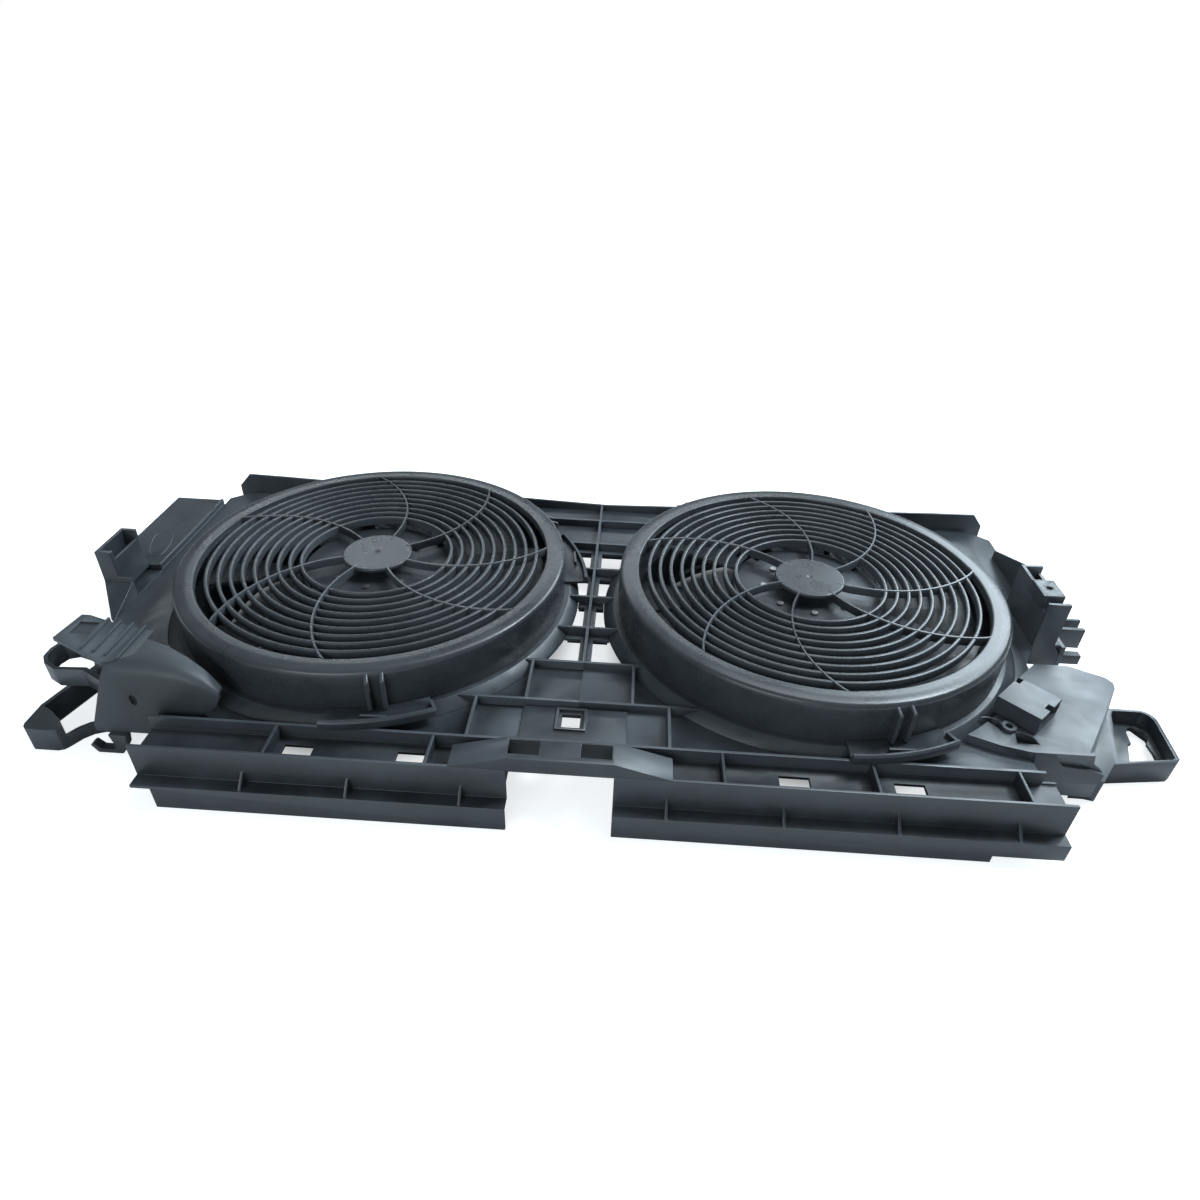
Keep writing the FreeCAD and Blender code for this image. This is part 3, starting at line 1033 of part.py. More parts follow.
extrude(right_ear, "right_ear_keyhole", "XY_Plane", [
    ("right_reach - 33", "-(panel_front - 54)"), ("right_reach - 25.5", "-(chamfer_right_y + 22)"),
    ("right_reach - 22.5", "-(chamfer_right_y + 21)"), ("right_reach - 20.5", "-(chamfer_right_y + 9)"),
    ("right_reach - 17", "-(chamfer_right_y + 3.5)"), ("right_reach - 12", "-(chamfer_right_y + 2)"),
    ("right_reach - 7.5", "-(chamfer_right_y + 5)"), ("right_reach - 6", "-(chamfer_right_y + 13)"),
    ("right_reach - 10.5", "-(chamfer_right_y + 20)"), ("right_reach - 10.5", "-(chamfer_right_y + 28)"),
    ("right_reach - 9", "-(panel_front - 54)"),
], "-5", "60", cut=True)
place(right_ear)

# Left ear: an open loop with a tall back strap, a solid foot and a low front strap
left_ear = body("left_front_ear")
extrude(left_ear, "left_ear_back", "XY_Plane", [
    on_line(left_foot, left_toe, 0.003), ("-panel_left - 2.8", "-(chamfer_left_y - 1)"),
    ("-panel_left - 15.5", "-(panel_front - 31)"), ("-panel_left - 12.8", "-(panel_front - 29)"),
    ("-panel_left - 1", "-(chamfer_left_y + 6)"), on_line(left_foot, left_toe, 0.09),
], "0", "ear_tall")
extrude(left_ear, "left_ear_foot", "XY_Plane", [
    ("-panel_left - 15.5", "-(panel_front - 32)"), ("-panel_left - 15", "-(panel_front - 11)"),
    ("-panel_left - 13.5", "-(panel_front - 8)"), ("-panel_left - 11", "-(panel_front - 6)"),
    ("-panel_left + 6", "-(panel_front - 6)"), ("-panel_left + 10", "-(panel_front - 7.5)"),
    ("-panel_left + 12.5", "-(panel_front - 11)"), ("-panel_left + 7", "-(panel_front - 17)"),
    ("-panel_left - 3.5", "-(panel_front - 25)"), ("-panel_left - 12.6", "-(panel_front - 30)"),
], "0", "ear_tall")
extrude(left_ear, "left_ear_front", "XY_Plane", [
    ("-panel_left + 6", "-(panel_front - 9)"), ("-panel_left + 12.4", "-(panel_front - 11)"),
    ("-panel_left + 17", "-(panel_front - 19)"), ("-panel_left + 22", "-(panel_front - 24)"),
    ("-panel_left + 29", "-(panel_front - 27)"), on_line(left_foot, left_toe, 0.79),
    on_line(left_foot, left_toe, 0.75), ("-panel_left + 28", "-(panel_front - 30)"),
    ("-panel_left + 20.5", "-(panel_front - 26.4)"), ("-panel_left + 15", "-(panel_front - 21)"),
    ("-panel_left + 10.5", "-(panel_front - 13.5)"), ("-panel_left + 6", "-(panel_front - 14)"),
], "0", "ear_low")
place(left_ear)

# Upper loop: a strap bent round in plan, hung from the bracket's shelf
upper_loop = body("left_upper_loop")
extrude(upper_loop, "loop_outer", "XY_Plane", [
    ("-(hood_left - 21)", "-(hood_y - hood_wall)"), ("-(hood_left - 8)", "-(hood_y - 9)"),
    ("-(hood_left + 6)", "-(hood_y - 17)"), ("-(panel_left - 12)", "-(hood_y - 16)"),
    ("-(panel_left - 1)", "-(hood_y - 22)"), ("-(panel_left + 4)", "-(hood_y - 29)"),
    ("-(panel_left + 4.6)", "-(hood_y - 38)"), ("-(panel_left + 2)", "-(hood_y - 46)"),
    ("-(panel_left - 6)", "-(shelf_back + 4)"), ("-(panel_left - 20)", "-(shelf_back + 8)"),
    ("-(hood_left - 11)", "-(shelf_back + 12)"),
], "rim_top - strap_drop", "strap_tall")
extrude(upper_loop, "loop_inner", "XY_Plane", [
    ("-(hood_left - 25)", "-(hood_y - hood_wall - 1)"), ("-(hood_left - 10)", "-(hood_y - 11.6)"),
    ("-(hood_left + 5)", "-(hood_y - 20)"), ("-(panel_left - 12)", "-(hood_y - 18.8)"),
    ("-(panel_left - 3)", "-(hood_y - 24)"), ("-(panel_left + 1.6)", "-(hood_y - 30)"),
    ("-(panel_left + 2)", "-(hood_y - 38)"), ("-(panel_left - 0.4)", "-(hood_y - 44.4)"),
    ("-(panel_left - 7)", "-(shelf_back + 6.8)"), ("-(panel_left - 20)", "-(shelf_back + 10.8)"),
    ("-(hood_left - 14)", "-(shelf_back + 15)"),
], "rim_top - strap_drop - 1", "strap_tall + 2", cut=True)
block(upper_loop, "loop_hanger", ("-(hood_left + 4)", "-(shelf_back + 14.6)", "rim_top - strap_drop"),
      ("-(hood_left - 11)", "-(shelf_back + 12)", "rim_top - hood_wall"))
place(upper_loop)

# Side skirts under the chamfered corners, which carry the ears
skirts = (
    ("right", [right_foot, right_toe, ("front_right_x + 0.8", "-step_y + bolted_gap"),
               ("corner_right - 3.5", "-(chamfer_right_y - 1)")]),
    ("left", [left_foot, ("-panel_left + 3.5", "-(chamfer_left_y - 1)"),
              ("-(hood_left - 13)", "-(hood_y - 5)"),
              left_toe]),
)
for side, line in skirts:
    skirt = body("skirt_" + side)
    extrude(skirt, side + "_skirt", "XY_Plane", line, "0", "panel_top - sheet_wall")
    place(skirt)

# Right post: box post with a screw pad on top, and the gusset behind it
right_post = body("right_post")
block(right_post, "post_wall", ("right_post_x - right_post_wide", "-right_post_front", "panel_top"),
      ("right_post_x", "right_post_back", "rim_top"))
block(right_post, "post_inside", ("right_post_x - right_post_wide + right_post_wall",
      "-right_post_front + right_post_wall", "panel_top + right_post_wall"),
      ("right_post_x - right_post_wall", "right_post_back - right_post_wall", "rim_top + 1"), cut=True)
extrude(right_post, "post_apron", "XZ_Plane", [
    ("right_post_x - right_post_wide + 3", "ledge_top"), ("panel_right", "ledge_top"),
    ("panel_right", "ledge_top + 12"), ("right_post_x", "panel_top + 1"),
    ("right_post_x - right_post_wide", "panel_top + 1"), ("right_post_x - right_post_wide", "ledge_top + 14"),
], "-right_post_front", "right_post_wall")
block(right_post, "post_notch", ("right_post_x - right_post_wide - 1", "-right_post_front + right_post_wall",
                                 "rim_top - 9"),
      ("right_post_x - right_post_wide + 6", "-right_post_front + 8", "rim_top + 1"), cut=True)
block(right_post, "post_side_gap", ("right_post_x - right_post_wall - 1",
                                    "-right_post_front + right_post_wall", "rim_top - 6"),
      ("right_post_x + 1", "right_post_back - right_post_wall", "rim_top + 1"), cut=True)
block(right_post, "post_pad", ("right_post_x - right_post_wide - 2", "-right_post_front + 8", "rim_top - 8"),
      ("right_post_x - right_post_wall", "-right_post_front + 8 + pad_long", "rim_top + pad_tall"))
block(right_post, "post_core", ("right_post_x - right_post_wide + 1", "-right_post_front + 10", "panel_top"),
      ("right_post_x - right_post_wall", "-right_post_front + 6 + pad_long", "rim_top"))
drum(right_post, "pad_hole", "pad_screw_r", "rim_top + pad_tall - pad_screw_deep", "rim_top + pad_tall + 1",
     "right_post_x - right_post_wide / 2 - 2", "-right_post_front + 8 + pad_long / 2", cut=True)
extrude(right_post, "post_gusset", "YZ_Plane", [
    ("right_post_back - 1", "panel_top"), ("right_post_back + 80", "panel_top"),
    ("right_post_back + 80", "rib_top"),
    ("right_post_back + 24", "rib_top + 20"), ("right_post_back - 1", "rim_top - 2"),
], "right_post_x - rib_wall", "rib_wall")
drum(right_post, "post_clear", "shoulder_edge + bolted_gap", "0", "rim_top + pad_tall + 1",
     "fan_spacing / 2", cut=True)
place(right_post)

# Comb of clip tabs outside the right edge
comb = body("right_clip_comb")
block(comb, "comb_strip", ("panel_right", "-right_post_front", "ledge_top"),
      ("panel_right + 4", "right_post_back + 12", "panel_top"))
for number, (start, stop, reach, top) in enumerate((
        ("18", "21", "33", "panel_top"), ("4", "8", "31", "panel_top"),
        ("-19", "-12", "21", "ledge_top + 9"))):
    block(comb, "comb_tab_%d" % number, ("panel_right + 3", start, "ledge_top"),
          ("panel_right + %s" % reach, stop, top))
place(comb)

# Corner platform at the front right, with a connector box and a hollow boss
platform = body("corner_platform")
extrude(platform, "platform_top", "XY_Plane", [
    ("corner_right - 136", "-(panel_front - 35)"), ("corner_right - 112", "-(panel_front - 24)"),
    ("corner_right - 92", "-(step_y + 3)"), ("corner_right - 58", "-(step_y + 3)"),
    ("corner_right - 53", "-(step_y + 1)"), ("corner_right - 49.5", "-(step_y - 4)"),
    ("corner_right - 3", "-(chamfer_right_y + 3)"), ("corner_right - 1", "-(chamfer_right_y - 4)"),
    ("corner_right - 4", "-(chamfer_right_y - 10)"), ("corner_right - 28", "-(chamfer_right_y - 22)"),
    ("corner_right - 53", "-(chamfer_right_y - 22)"),
], "panel_top", "rib_tall")
drum(platform, "platform_clear", "shoulder_edge + bolted_gap", "0", "rim_top", "fan_spacing / 2", cut=True)
extrude(platform, "corner_step", "YZ_Plane", [
    ("-step_y", "step_foot"), ("-step_y", "rib_top"), ("-(step_y + 3)", "rib_top"),
    ("-(step_y + 6)", "rib_top - 6"),
    ("-(step_y + 6)", "ledge_top + 2"), ("-(step_y + 4.5)", "ledge_top + 1"),
    ("-(step_y + 4.5)", "step_foot"),
], "step_x", "step_wide")
extrude(platform, "step_slope", "XZ_Plane", [
    ("step_x + step_wide * 0.25", "rib_top + 1"), ("step_x + step_wide * 0.4", "rib_top - 9"),
    ("step_x + step_wide * 0.8", "rib_top - 11"), ("step_x + step_wide + 1", "rib_top - 15"),
    ("step_x + step_wide + 1", "rib_top + 1"),
], "-(step_y + 7)", "4", cut=True)
extrude(platform, "step_end", "XZ_Plane", [
    ("step_x + step_wide * 0.8", "rib_top + 1"), ("step_x + step_wide * 0.84", "rib_top - 8"),
    ("step_x + step_wide + 1", "rib_top - 15"), ("step_x + step_wide + 1", "rib_top + 1"),
], "-(step_y + 7)", "8", cut=True)
for number, moon in enumerate((
        [(116.5, 50.5), (112, 51.4), (107.5, 50.6), (104.6, 48.4), (103.8, 44), (105.8, 39), (110, 44.5)],
        [(97, 37.4), (92, 37.2), (88, 35.4), (85.4, 31.6), (84.6, 27), (92, 26.8), (99.6, 26.7)])):
    extrude(platform, "moon_%d" % number, "XY_Plane",
            [("corner_right - %g" % across, "-(panel_front - %g)" % along) for across, along in moon],
            "panel_top + 1", "rib_tall", cut=True)
boss_x = "corner_right - 100.5"
boss_y = "-(panel_front - 41)"
drum(platform, "boss", "boss_ring_r", "rib_top - 1", "rib_top + boss_ring_tall", boss_x, boss_y)
drum(platform, "boss_hole", "boss_ring_r / 2", "panel_top + 2", "rib_top + boss_ring_tall + 1", boss_x,
     boss_y, cut=True)
place(platform)

box = body("connector_box")
block(box, "box_shell", ("-box_long / 2", "-box_wide / 2", "rib_top"),
      ("box_long / 2", "box_wide / 2", "rib_top + box_tall"))
block(box, "box_inside", ("-box_long / 2 + box_wall", "-box_wide / 2 + box_wall", "rib_top + box_wall"),
      ("box_long / 2 + 1", "box_wide / 2 - box_wall", "rib_top + box_tall - box_wall"), cut=True)
for number, (across, along) in enumerate((("-box_long / 2 - 1", "box_wide / 2 - 7"),
                                          ("box_long / 2 - 4", "-3"))):
    block(box, "box_notch_%d" % number, (across, along, "rib_top + box_tall - 6"),
          (across + " + 5", along + " + 6", "rib_top + box_tall + 1"), cut=True)
place(box, "corner_right - 83", "-(panel_front - 59.5)", "0", "box_turn")

# Left foot hook below the bracket
hook = body("left_foot_hook")
extrude(hook, "hook_bend", "XZ_Plane", [
    ("-(hood_left - 23)", "hood_foot"), ("-(hood_left - 21)", "9"), ("-(hood_left - 16)", "1"),
    ("-(hood_left + 2)", "1"), ("-(hood_left + 6)", "8"), ("-(hood_left + 3.5)", "9.5"),
    ("-(hood_left - 1)", "4.5"), ("-(hood_left - 11)", "4.5"), ("-(hood_left - 12)", "10"),
    ("-(hood_left - 10)", "hood_foot"),
], "-hood_y - 4", "hood_wall + 4")
place(hook)

# Latches, each turned to its guard ear
for side, sign in (("left", "-"), ("right", "")):
    latches = doc.addObject("Part::Compound", "guard_latches_" + side)
    latches.Label = "guard_latches_" + side
    parts = []
    for number, angle in enumerate(latch_angles):
        one = doc.addObject("Part::Compound", "latch_%s_%d" % (side, number))
        one.Links = [latch]
        bind(one, {"Placement.Rotation.Angle": "%d - latch_sweep / 2" % angle})
        parts.append(one)
    latches.Links = parts
    place(latches, sign + "fan_spacing / 2")

doc.recompute()

# Check every object before anything is written
for thing in doc.Objects:
    if "Invalid" in thing.State or "Error" in thing.State:
        raise RuntimeError("%s did not recompute: %s" % (thing.Label, thing.State))
for piece in pieces:
    if piece.Shape.isNull() or not piece.Shape.isValid():
        raise RuntimeError("%s has no valid shape" % piece.Label)
for piece in pieces:
    piece.Shape.exportStep("parts/%s.step" % piece.Label)
    box_of = piece.Shape.BoundBox
    print("%-24s solids %d volume %9.0f  x %.1f %.1f  y %.1f %.1f  z %.1f %.1f" % (
        piece.Label, len(piece.Shape.Solids), piece.Shape.Volume,
        box_of.XMin, box_of.XMax, box_of.YMin, box_of.YMax, box_of.ZMin, box_of.ZMax))
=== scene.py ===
import json
import math

import bmesh
import bpy
from mathutils import Matrix, Vector


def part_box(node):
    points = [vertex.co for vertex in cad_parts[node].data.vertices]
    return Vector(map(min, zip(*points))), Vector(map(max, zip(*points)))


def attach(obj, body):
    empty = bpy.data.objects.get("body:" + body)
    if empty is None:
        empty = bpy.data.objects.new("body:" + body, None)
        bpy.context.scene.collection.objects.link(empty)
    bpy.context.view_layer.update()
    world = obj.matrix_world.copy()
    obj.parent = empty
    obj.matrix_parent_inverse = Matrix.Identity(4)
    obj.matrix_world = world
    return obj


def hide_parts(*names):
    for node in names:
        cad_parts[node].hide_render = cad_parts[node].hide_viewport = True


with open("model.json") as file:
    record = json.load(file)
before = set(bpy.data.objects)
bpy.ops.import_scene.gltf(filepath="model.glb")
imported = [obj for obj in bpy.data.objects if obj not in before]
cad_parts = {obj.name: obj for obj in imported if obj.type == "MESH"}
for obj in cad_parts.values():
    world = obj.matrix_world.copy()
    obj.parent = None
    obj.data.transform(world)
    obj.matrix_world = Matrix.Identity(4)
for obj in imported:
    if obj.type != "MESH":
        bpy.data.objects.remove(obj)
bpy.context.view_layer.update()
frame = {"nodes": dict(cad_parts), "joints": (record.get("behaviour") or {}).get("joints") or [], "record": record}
print("frame loaded with", len(frame["nodes"]), "nodes")

root = "shroud_module"
fanCentres = {joint["name"].split("_")[-1]: Vector(joint["pos_m"]) for joint in frame["joints"]}
midPoint = (fanCentres["left"] + fanCentres["right"]) / 2


# shader trees written as sums


class Wire:
    # one output of a shader tree, so that sums and products on it read as plain maths
    def __init__(self, paint, link):
        self.paint = paint
        self.link = link

    def __add__(self, other):
        return self.paint.node("ShaderNodeMath", {"operation": "ADD"}, {0: self, 1: other})

    def __mul__(self, other):
        return self.paint.node("ShaderNodeMath", {"operation": "MULTIPLY"}, {0: self, 1: other})

    __radd__ = __add__
    __rmul__ = __mul__


class Paint:
    # the shader tree of a material or of the world
    def __init__(self, owner, shaderName="Principled BSDF"):
        self.owner = owner
        self.owner.use_nodes = True
        self.tree = self.owner.node_tree
        self.shader = self.tree.nodes[shaderName]

    def node(self, kind, settings, sockets, output=0):
        made = self.tree.nodes.new(kind)
        for key, value in settings.items():
            if key == "stops":
                ramp = made.color_ramp
                while len(ramp.elements) < len(value):
                    ramp.elements.new(0.5)
                for element, (place, tone) in zip(ramp.elements, value):
                    element.position = place
                    element.color = tone
            else:
                setattr(made, key, value)
        for key, value in sockets.items():
            self.join(value, made.inputs[key])
        return Wire(self, made.outputs[output])

    def join(self, value, socket):
        if isinstance(value, Wire):
            self.tree.links.new(value.link, socket)
        else:
            socket.default_value = value

    def give(self, **sockets):
        for name, value in sockets.items():
            self.join(value, self.shader.inputs[name.replace("_", " ")])
        return self.owner


def grey(level, alpha=1.0):
    return (level, level, level, alpha)


def mouldedPlastic(name, look):
    # satin black plastic: fine spark-eroded grain, soft flow marks, pale edges that are partly scuffs and partly a
    # painted highlight
    paint = Paint(bpy.data.materials.new(name))
    place = paint.node("ShaderNodeTexCoord", {}, {}, "Object")
    flow = paint.node("ShaderNodeTexNoise", {},
                      {"Vector": place, "Scale": look["flowScale"], "Detail": 4.0})
    cloud = paint.node("ShaderNodeTexNoise", {},
                       {"Vector": place, "Scale": look["cloudScale"], "Detail": 6.0, "Roughness": 0.62})
    grain = paint.node("ShaderNodeTexNoise", {},
                       {"Vector": place, "Scale": look["grainScale"], "Detail": 2.0})
    # sharp edges found by pointiness get a pale tone: partly edge wear, partly a painted edge highlight
    edge = paint.node("ShaderNodeNewGeometry", {}, {}, "Pointiness")
    edgeWearAndHighlight = paint.node("ShaderNodeValToRGB", {"stops": ((0.5, grey(0)), (0.62, grey(1)))}, {"Fac": edge})
    shade = paint.node("ShaderNodeValToRGB", {"stops": ((0.36, look["dark"]), (0.64, look["light"]))},
                       {"Fac": cloud * 0.55 + flow * 0.45})
    scuffsAndEdgeHighlight = paint.node("ShaderNodeMix", {"data_type": "RGBA"},
                         {"Factor": edgeWearAndHighlight * look["wear"], "A": shade, "B": look["scuff"]}, "Result")
    bump = paint.node("ShaderNodeBump", {}, {"Strength": look["grainDepth"], "Distance": 0.0004,
                                             "Height": grain * 0.75 + flow * 0.25})
    rough = cloud * look["roughSpread"] + (look["rough"] - look["roughSpread"] / 2)
    return paint.give(Base_Color=scuffsAndEdgeHighlight, Roughness=rough, Normal=bump)


def metalFinish(name, look):
    # turned or pressed metal with light pitting
    paint = Paint(bpy.data.materials.new(name))
    place = paint.node("ShaderNodeTexCoord", {}, {}, "Object")
    spots = paint.node("ShaderNodeTexNoise", {}, {"Vector": place, "Scale": 420.0, "Detail": 3.0})
    shade = paint.node("ShaderNodeValToRGB", {"stops": ((0.3, look["dark"]), (0.7, look["light"]))},
                       {"Fac": spots})
    bump = paint.node("ShaderNodeBump", {}, {"Strength": 0.15, "Distance": 0.0002, "Height": spots})
    return paint.give(Base_Color=shade, Roughness=spots * 0.2 + look["rough"], Metallic=look["metal"],
                      Normal=bump)


# the pale edge tone and its amount stand for edge wear and for a painted edge highlight together
plasticLook = {
    "flowScale": 9.0, "cloudScale": 34.0, "grainScale": 1700.0, "grainDepth": 0.16,
    "dark": (0.014, 0.0175, 0.0215, 1), "light": (0.042, 0.05, 0.058, 1), "scuff": (0.12, 0.138, 0.158, 1),
    "wear": 0.5, "rough": 0.38, "roughSpread": 0.55,
}
finishes = {
    "shroud_plastic": mouldedPlastic("shroudPlastic", plasticLook),
    "bracket_plastic": mouldedPlastic("bracketPlastic", {
        **plasticLook, "dark": (0.03, 0.036, 0.041, 1), "light": (0.048, 0.056, 0.062, 1), "rough": 0.5}),
    "guard_plastic": mouldedPlastic("guardPlastic", {
        **plasticLook, "dark": (0.016, 0.019, 0.0225, 1), "light": (0.044, 0.049, 0.055, 1), "rough": 0.28,
        "roughSpread": 0.2}),
    "fan_plastic": mouldedPlastic("fanPlastic", {
        **plasticLook, "dark": (0.016, 0.019, 0.023, 1), "light": (0.03, 0.035, 0.041, 1), "rough": 0.5}),
    "motor_steel": metalFinish("motorSteel", {
        "dark": grey(0.02), "light": grey(0.04), "rough": 0.35, "metal": 0.6}),
    "fastener_steel": metalFinish("fastenerSteel", {
        "dark": grey(0.2), "light": grey(0.42), "rough": 0.34, "metal": 1.0}),
    "armature_steel": metalFinish("armatureSteel", {
        "dark": grey(0.2), "light": grey(0.4), "rough": 0.4, "metal": 1.0}),
    "magnet_dark": metalFinish("magnetDark", {
        "dark": grey(0.05), "light": grey(0.09), "rough": 0.5, "metal": 0.3}),
    "bearing_brass": metalFinish("bearingBronze", {
        "dark": (0.4, 0.26, 0.1, 1), "light": (0.65, 0.45, 0.2, 1), "rough": 0.35, "metal": 1.0}),
    "bush_rubber": mouldedPlastic("bushRubber", {
        **plasticLook, "dark": (0.012, 0.012, 0.012, 1), "light": (0.02, 0.02, 0.02, 1), "rough": 0.7}),
}
print("finishes mixed")


# shared modelling helpers


def finished(name, shape, body, slotName, nodes=(), crease=None):
    # turn a bmesh into a piece that rides on a body and stands for its nodes
    mesh = bpy.data.meshes.new(name)
    shape.to_mesh(mesh)
    shape.free()
    mesh.shade_smooth()
    if crease:
        mesh.set_sharp_from_angle(angle=math.radians(crease))
    piece = bpy.data.objects.new(name, mesh)
    bpy.context.scene.collection.objects.link(piece)
    piece.data.materials.append(finishes[slotName])
    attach(piece, body)
    if nodes:
        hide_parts(*nodes)
    return piece


def softenEdges(piece, width, segments=2, angle=32):
    bevel = piece.modifiers.new("edges", "BEVEL")
    bevel.width = width
    bevel.segments = segments
    bevel.limit_method = "ANGLE"
    bevel.angle_limit = math.radians(angle)
    bevel.harden_normals = True
    bevel.use_clamp_overlap = True
    return piece


def turnedShape(shape, outline, centre, steps):
    # spin a closed outline of (radius, height) about the upright axis through centre
    corners = [shape.verts.new((centre.x + radius, centre.y, height)) for radius, height in outline]
    edges = [shape.edges.new((corners[index - 1], corner)) for index, corner in enumerate(corners)]
    bmesh.ops.spin(shape, geom=corners + edges, cent=(centre.x, centre.y, 0), axis=(0, 0, 1),
                   angle=2 * math.pi, steps=steps, use_merge=True, use_duplicate=False)


def arcPoints(middle, radius, start, stop, count):
    # points of a rounding in an outline, angles in degrees
    turns = [math.radians(start + (stop - start) * index / (count - 1)) for index in range(count)]
    return [(middle[0] + radius * math.cos(turn), middle[1] + radius * math.sin(turn)) for turn in turns]


def outwards(shape):
    bmesh.ops.remove_doubles(shape, verts=shape.verts, dist=1e-6)
    bmesh.ops.recalc_face_normals(shape, faces=shape.faces)


# guards

guardSizes = {
    "lipRadius": 0.1395, "lipDepth": 0.0065, "lipRound": 0.0012, "rimRound": 0.004, "innerRound": 0.004,
    "crownThick": 0.0042, "crownFall": 0.0006, "footChamfer": (0.0004, 0.0005), "wall": 0.0025,
    "rimFlat": ((0.0075, 0.0001), (0.010, 0.0)), "lipEase": (0.001, 0.0004), "steps": 144,
    "ringFirst": 0.060, "ringLast": 0.131, "ringCount": 9, "ringWidth": 0.0029, "ringDepth": 0.0068,
    "ringCrown": 0.45, "ringDrop": 0.0006,
    "discRadius": 0.028, "discRound": 0.0012, "discDrop": 0.0004, "discThick": 0.004, "discSteps": 96,
    "discChamfer": (0.002, 0.0015), "dimple": 0.0005, "dimpleEdge": (0.003, 0.0024, 0.0014),
    "spokeEnds": (-131, -89, -30, 9, 59, 105, 162), "spokeLead": 27.5, "spokeWidth": 0.0025,
    "spokeBow": 0.104, "spokeTurn": 74, "spokeSteps": 30, "spokeRoot": 3, "spokeDrop": 0.0002,
    "earAngles": (-75, 30, 129), "earSplit": 0.0135, "earWall": 0.0032, "earReach": 0.006,
    "earLift": 0.0025, "earDrop": 0.002, "earSlope": 0.004, "earEdge": (0.005, 0.002), "earRound": 0.0012,
}


def ringOutline(radius, width, top, depth, crownShare):
    half = width / 2
    rounding = half * crownShare
    crown = arcPoints((radius, top - rounding), rounding, 0, 180, 7)
    crown = [(radius + (across - radius) * half / rounding, height) for across, height in crown]
    return [(radius + half * 0.8, top - depth)] + crown + [(radius - half * 0.8, top - depth)]


def spokeBar(shape, top, size):
    # a curved bar that starts below the disc and runs out to the rim lip
    half = size["spokeWidth"] / 2
    low = top - size["ringDepth"]
    section = [(-half * 0.85, low), (half * 0.85, low), (half, top - half),
               (half * 0.5, top), (-half * 0.5, top), (-half, top - half)]
    bow = size["spokeBow"]
    pivot = Vector((size["discRadius"], bow, 0))
    start = Matrix.Rotation(math.radians(-size["spokeRoot"]), 4, "Z")
    corners = [start @ Vector((0, -bow + across, height)) + pivot for across, height in section]
    face = shape.faces.new([shape.verts.new(corner) for corner in corners])
    bmesh.ops.spin(shape, geom=[face], cent=pivot, axis=(0, 0, 1),
                   angle=math.radians(size["spokeTurn"] + size["spokeRoot"]), steps=size["spokeSteps"])


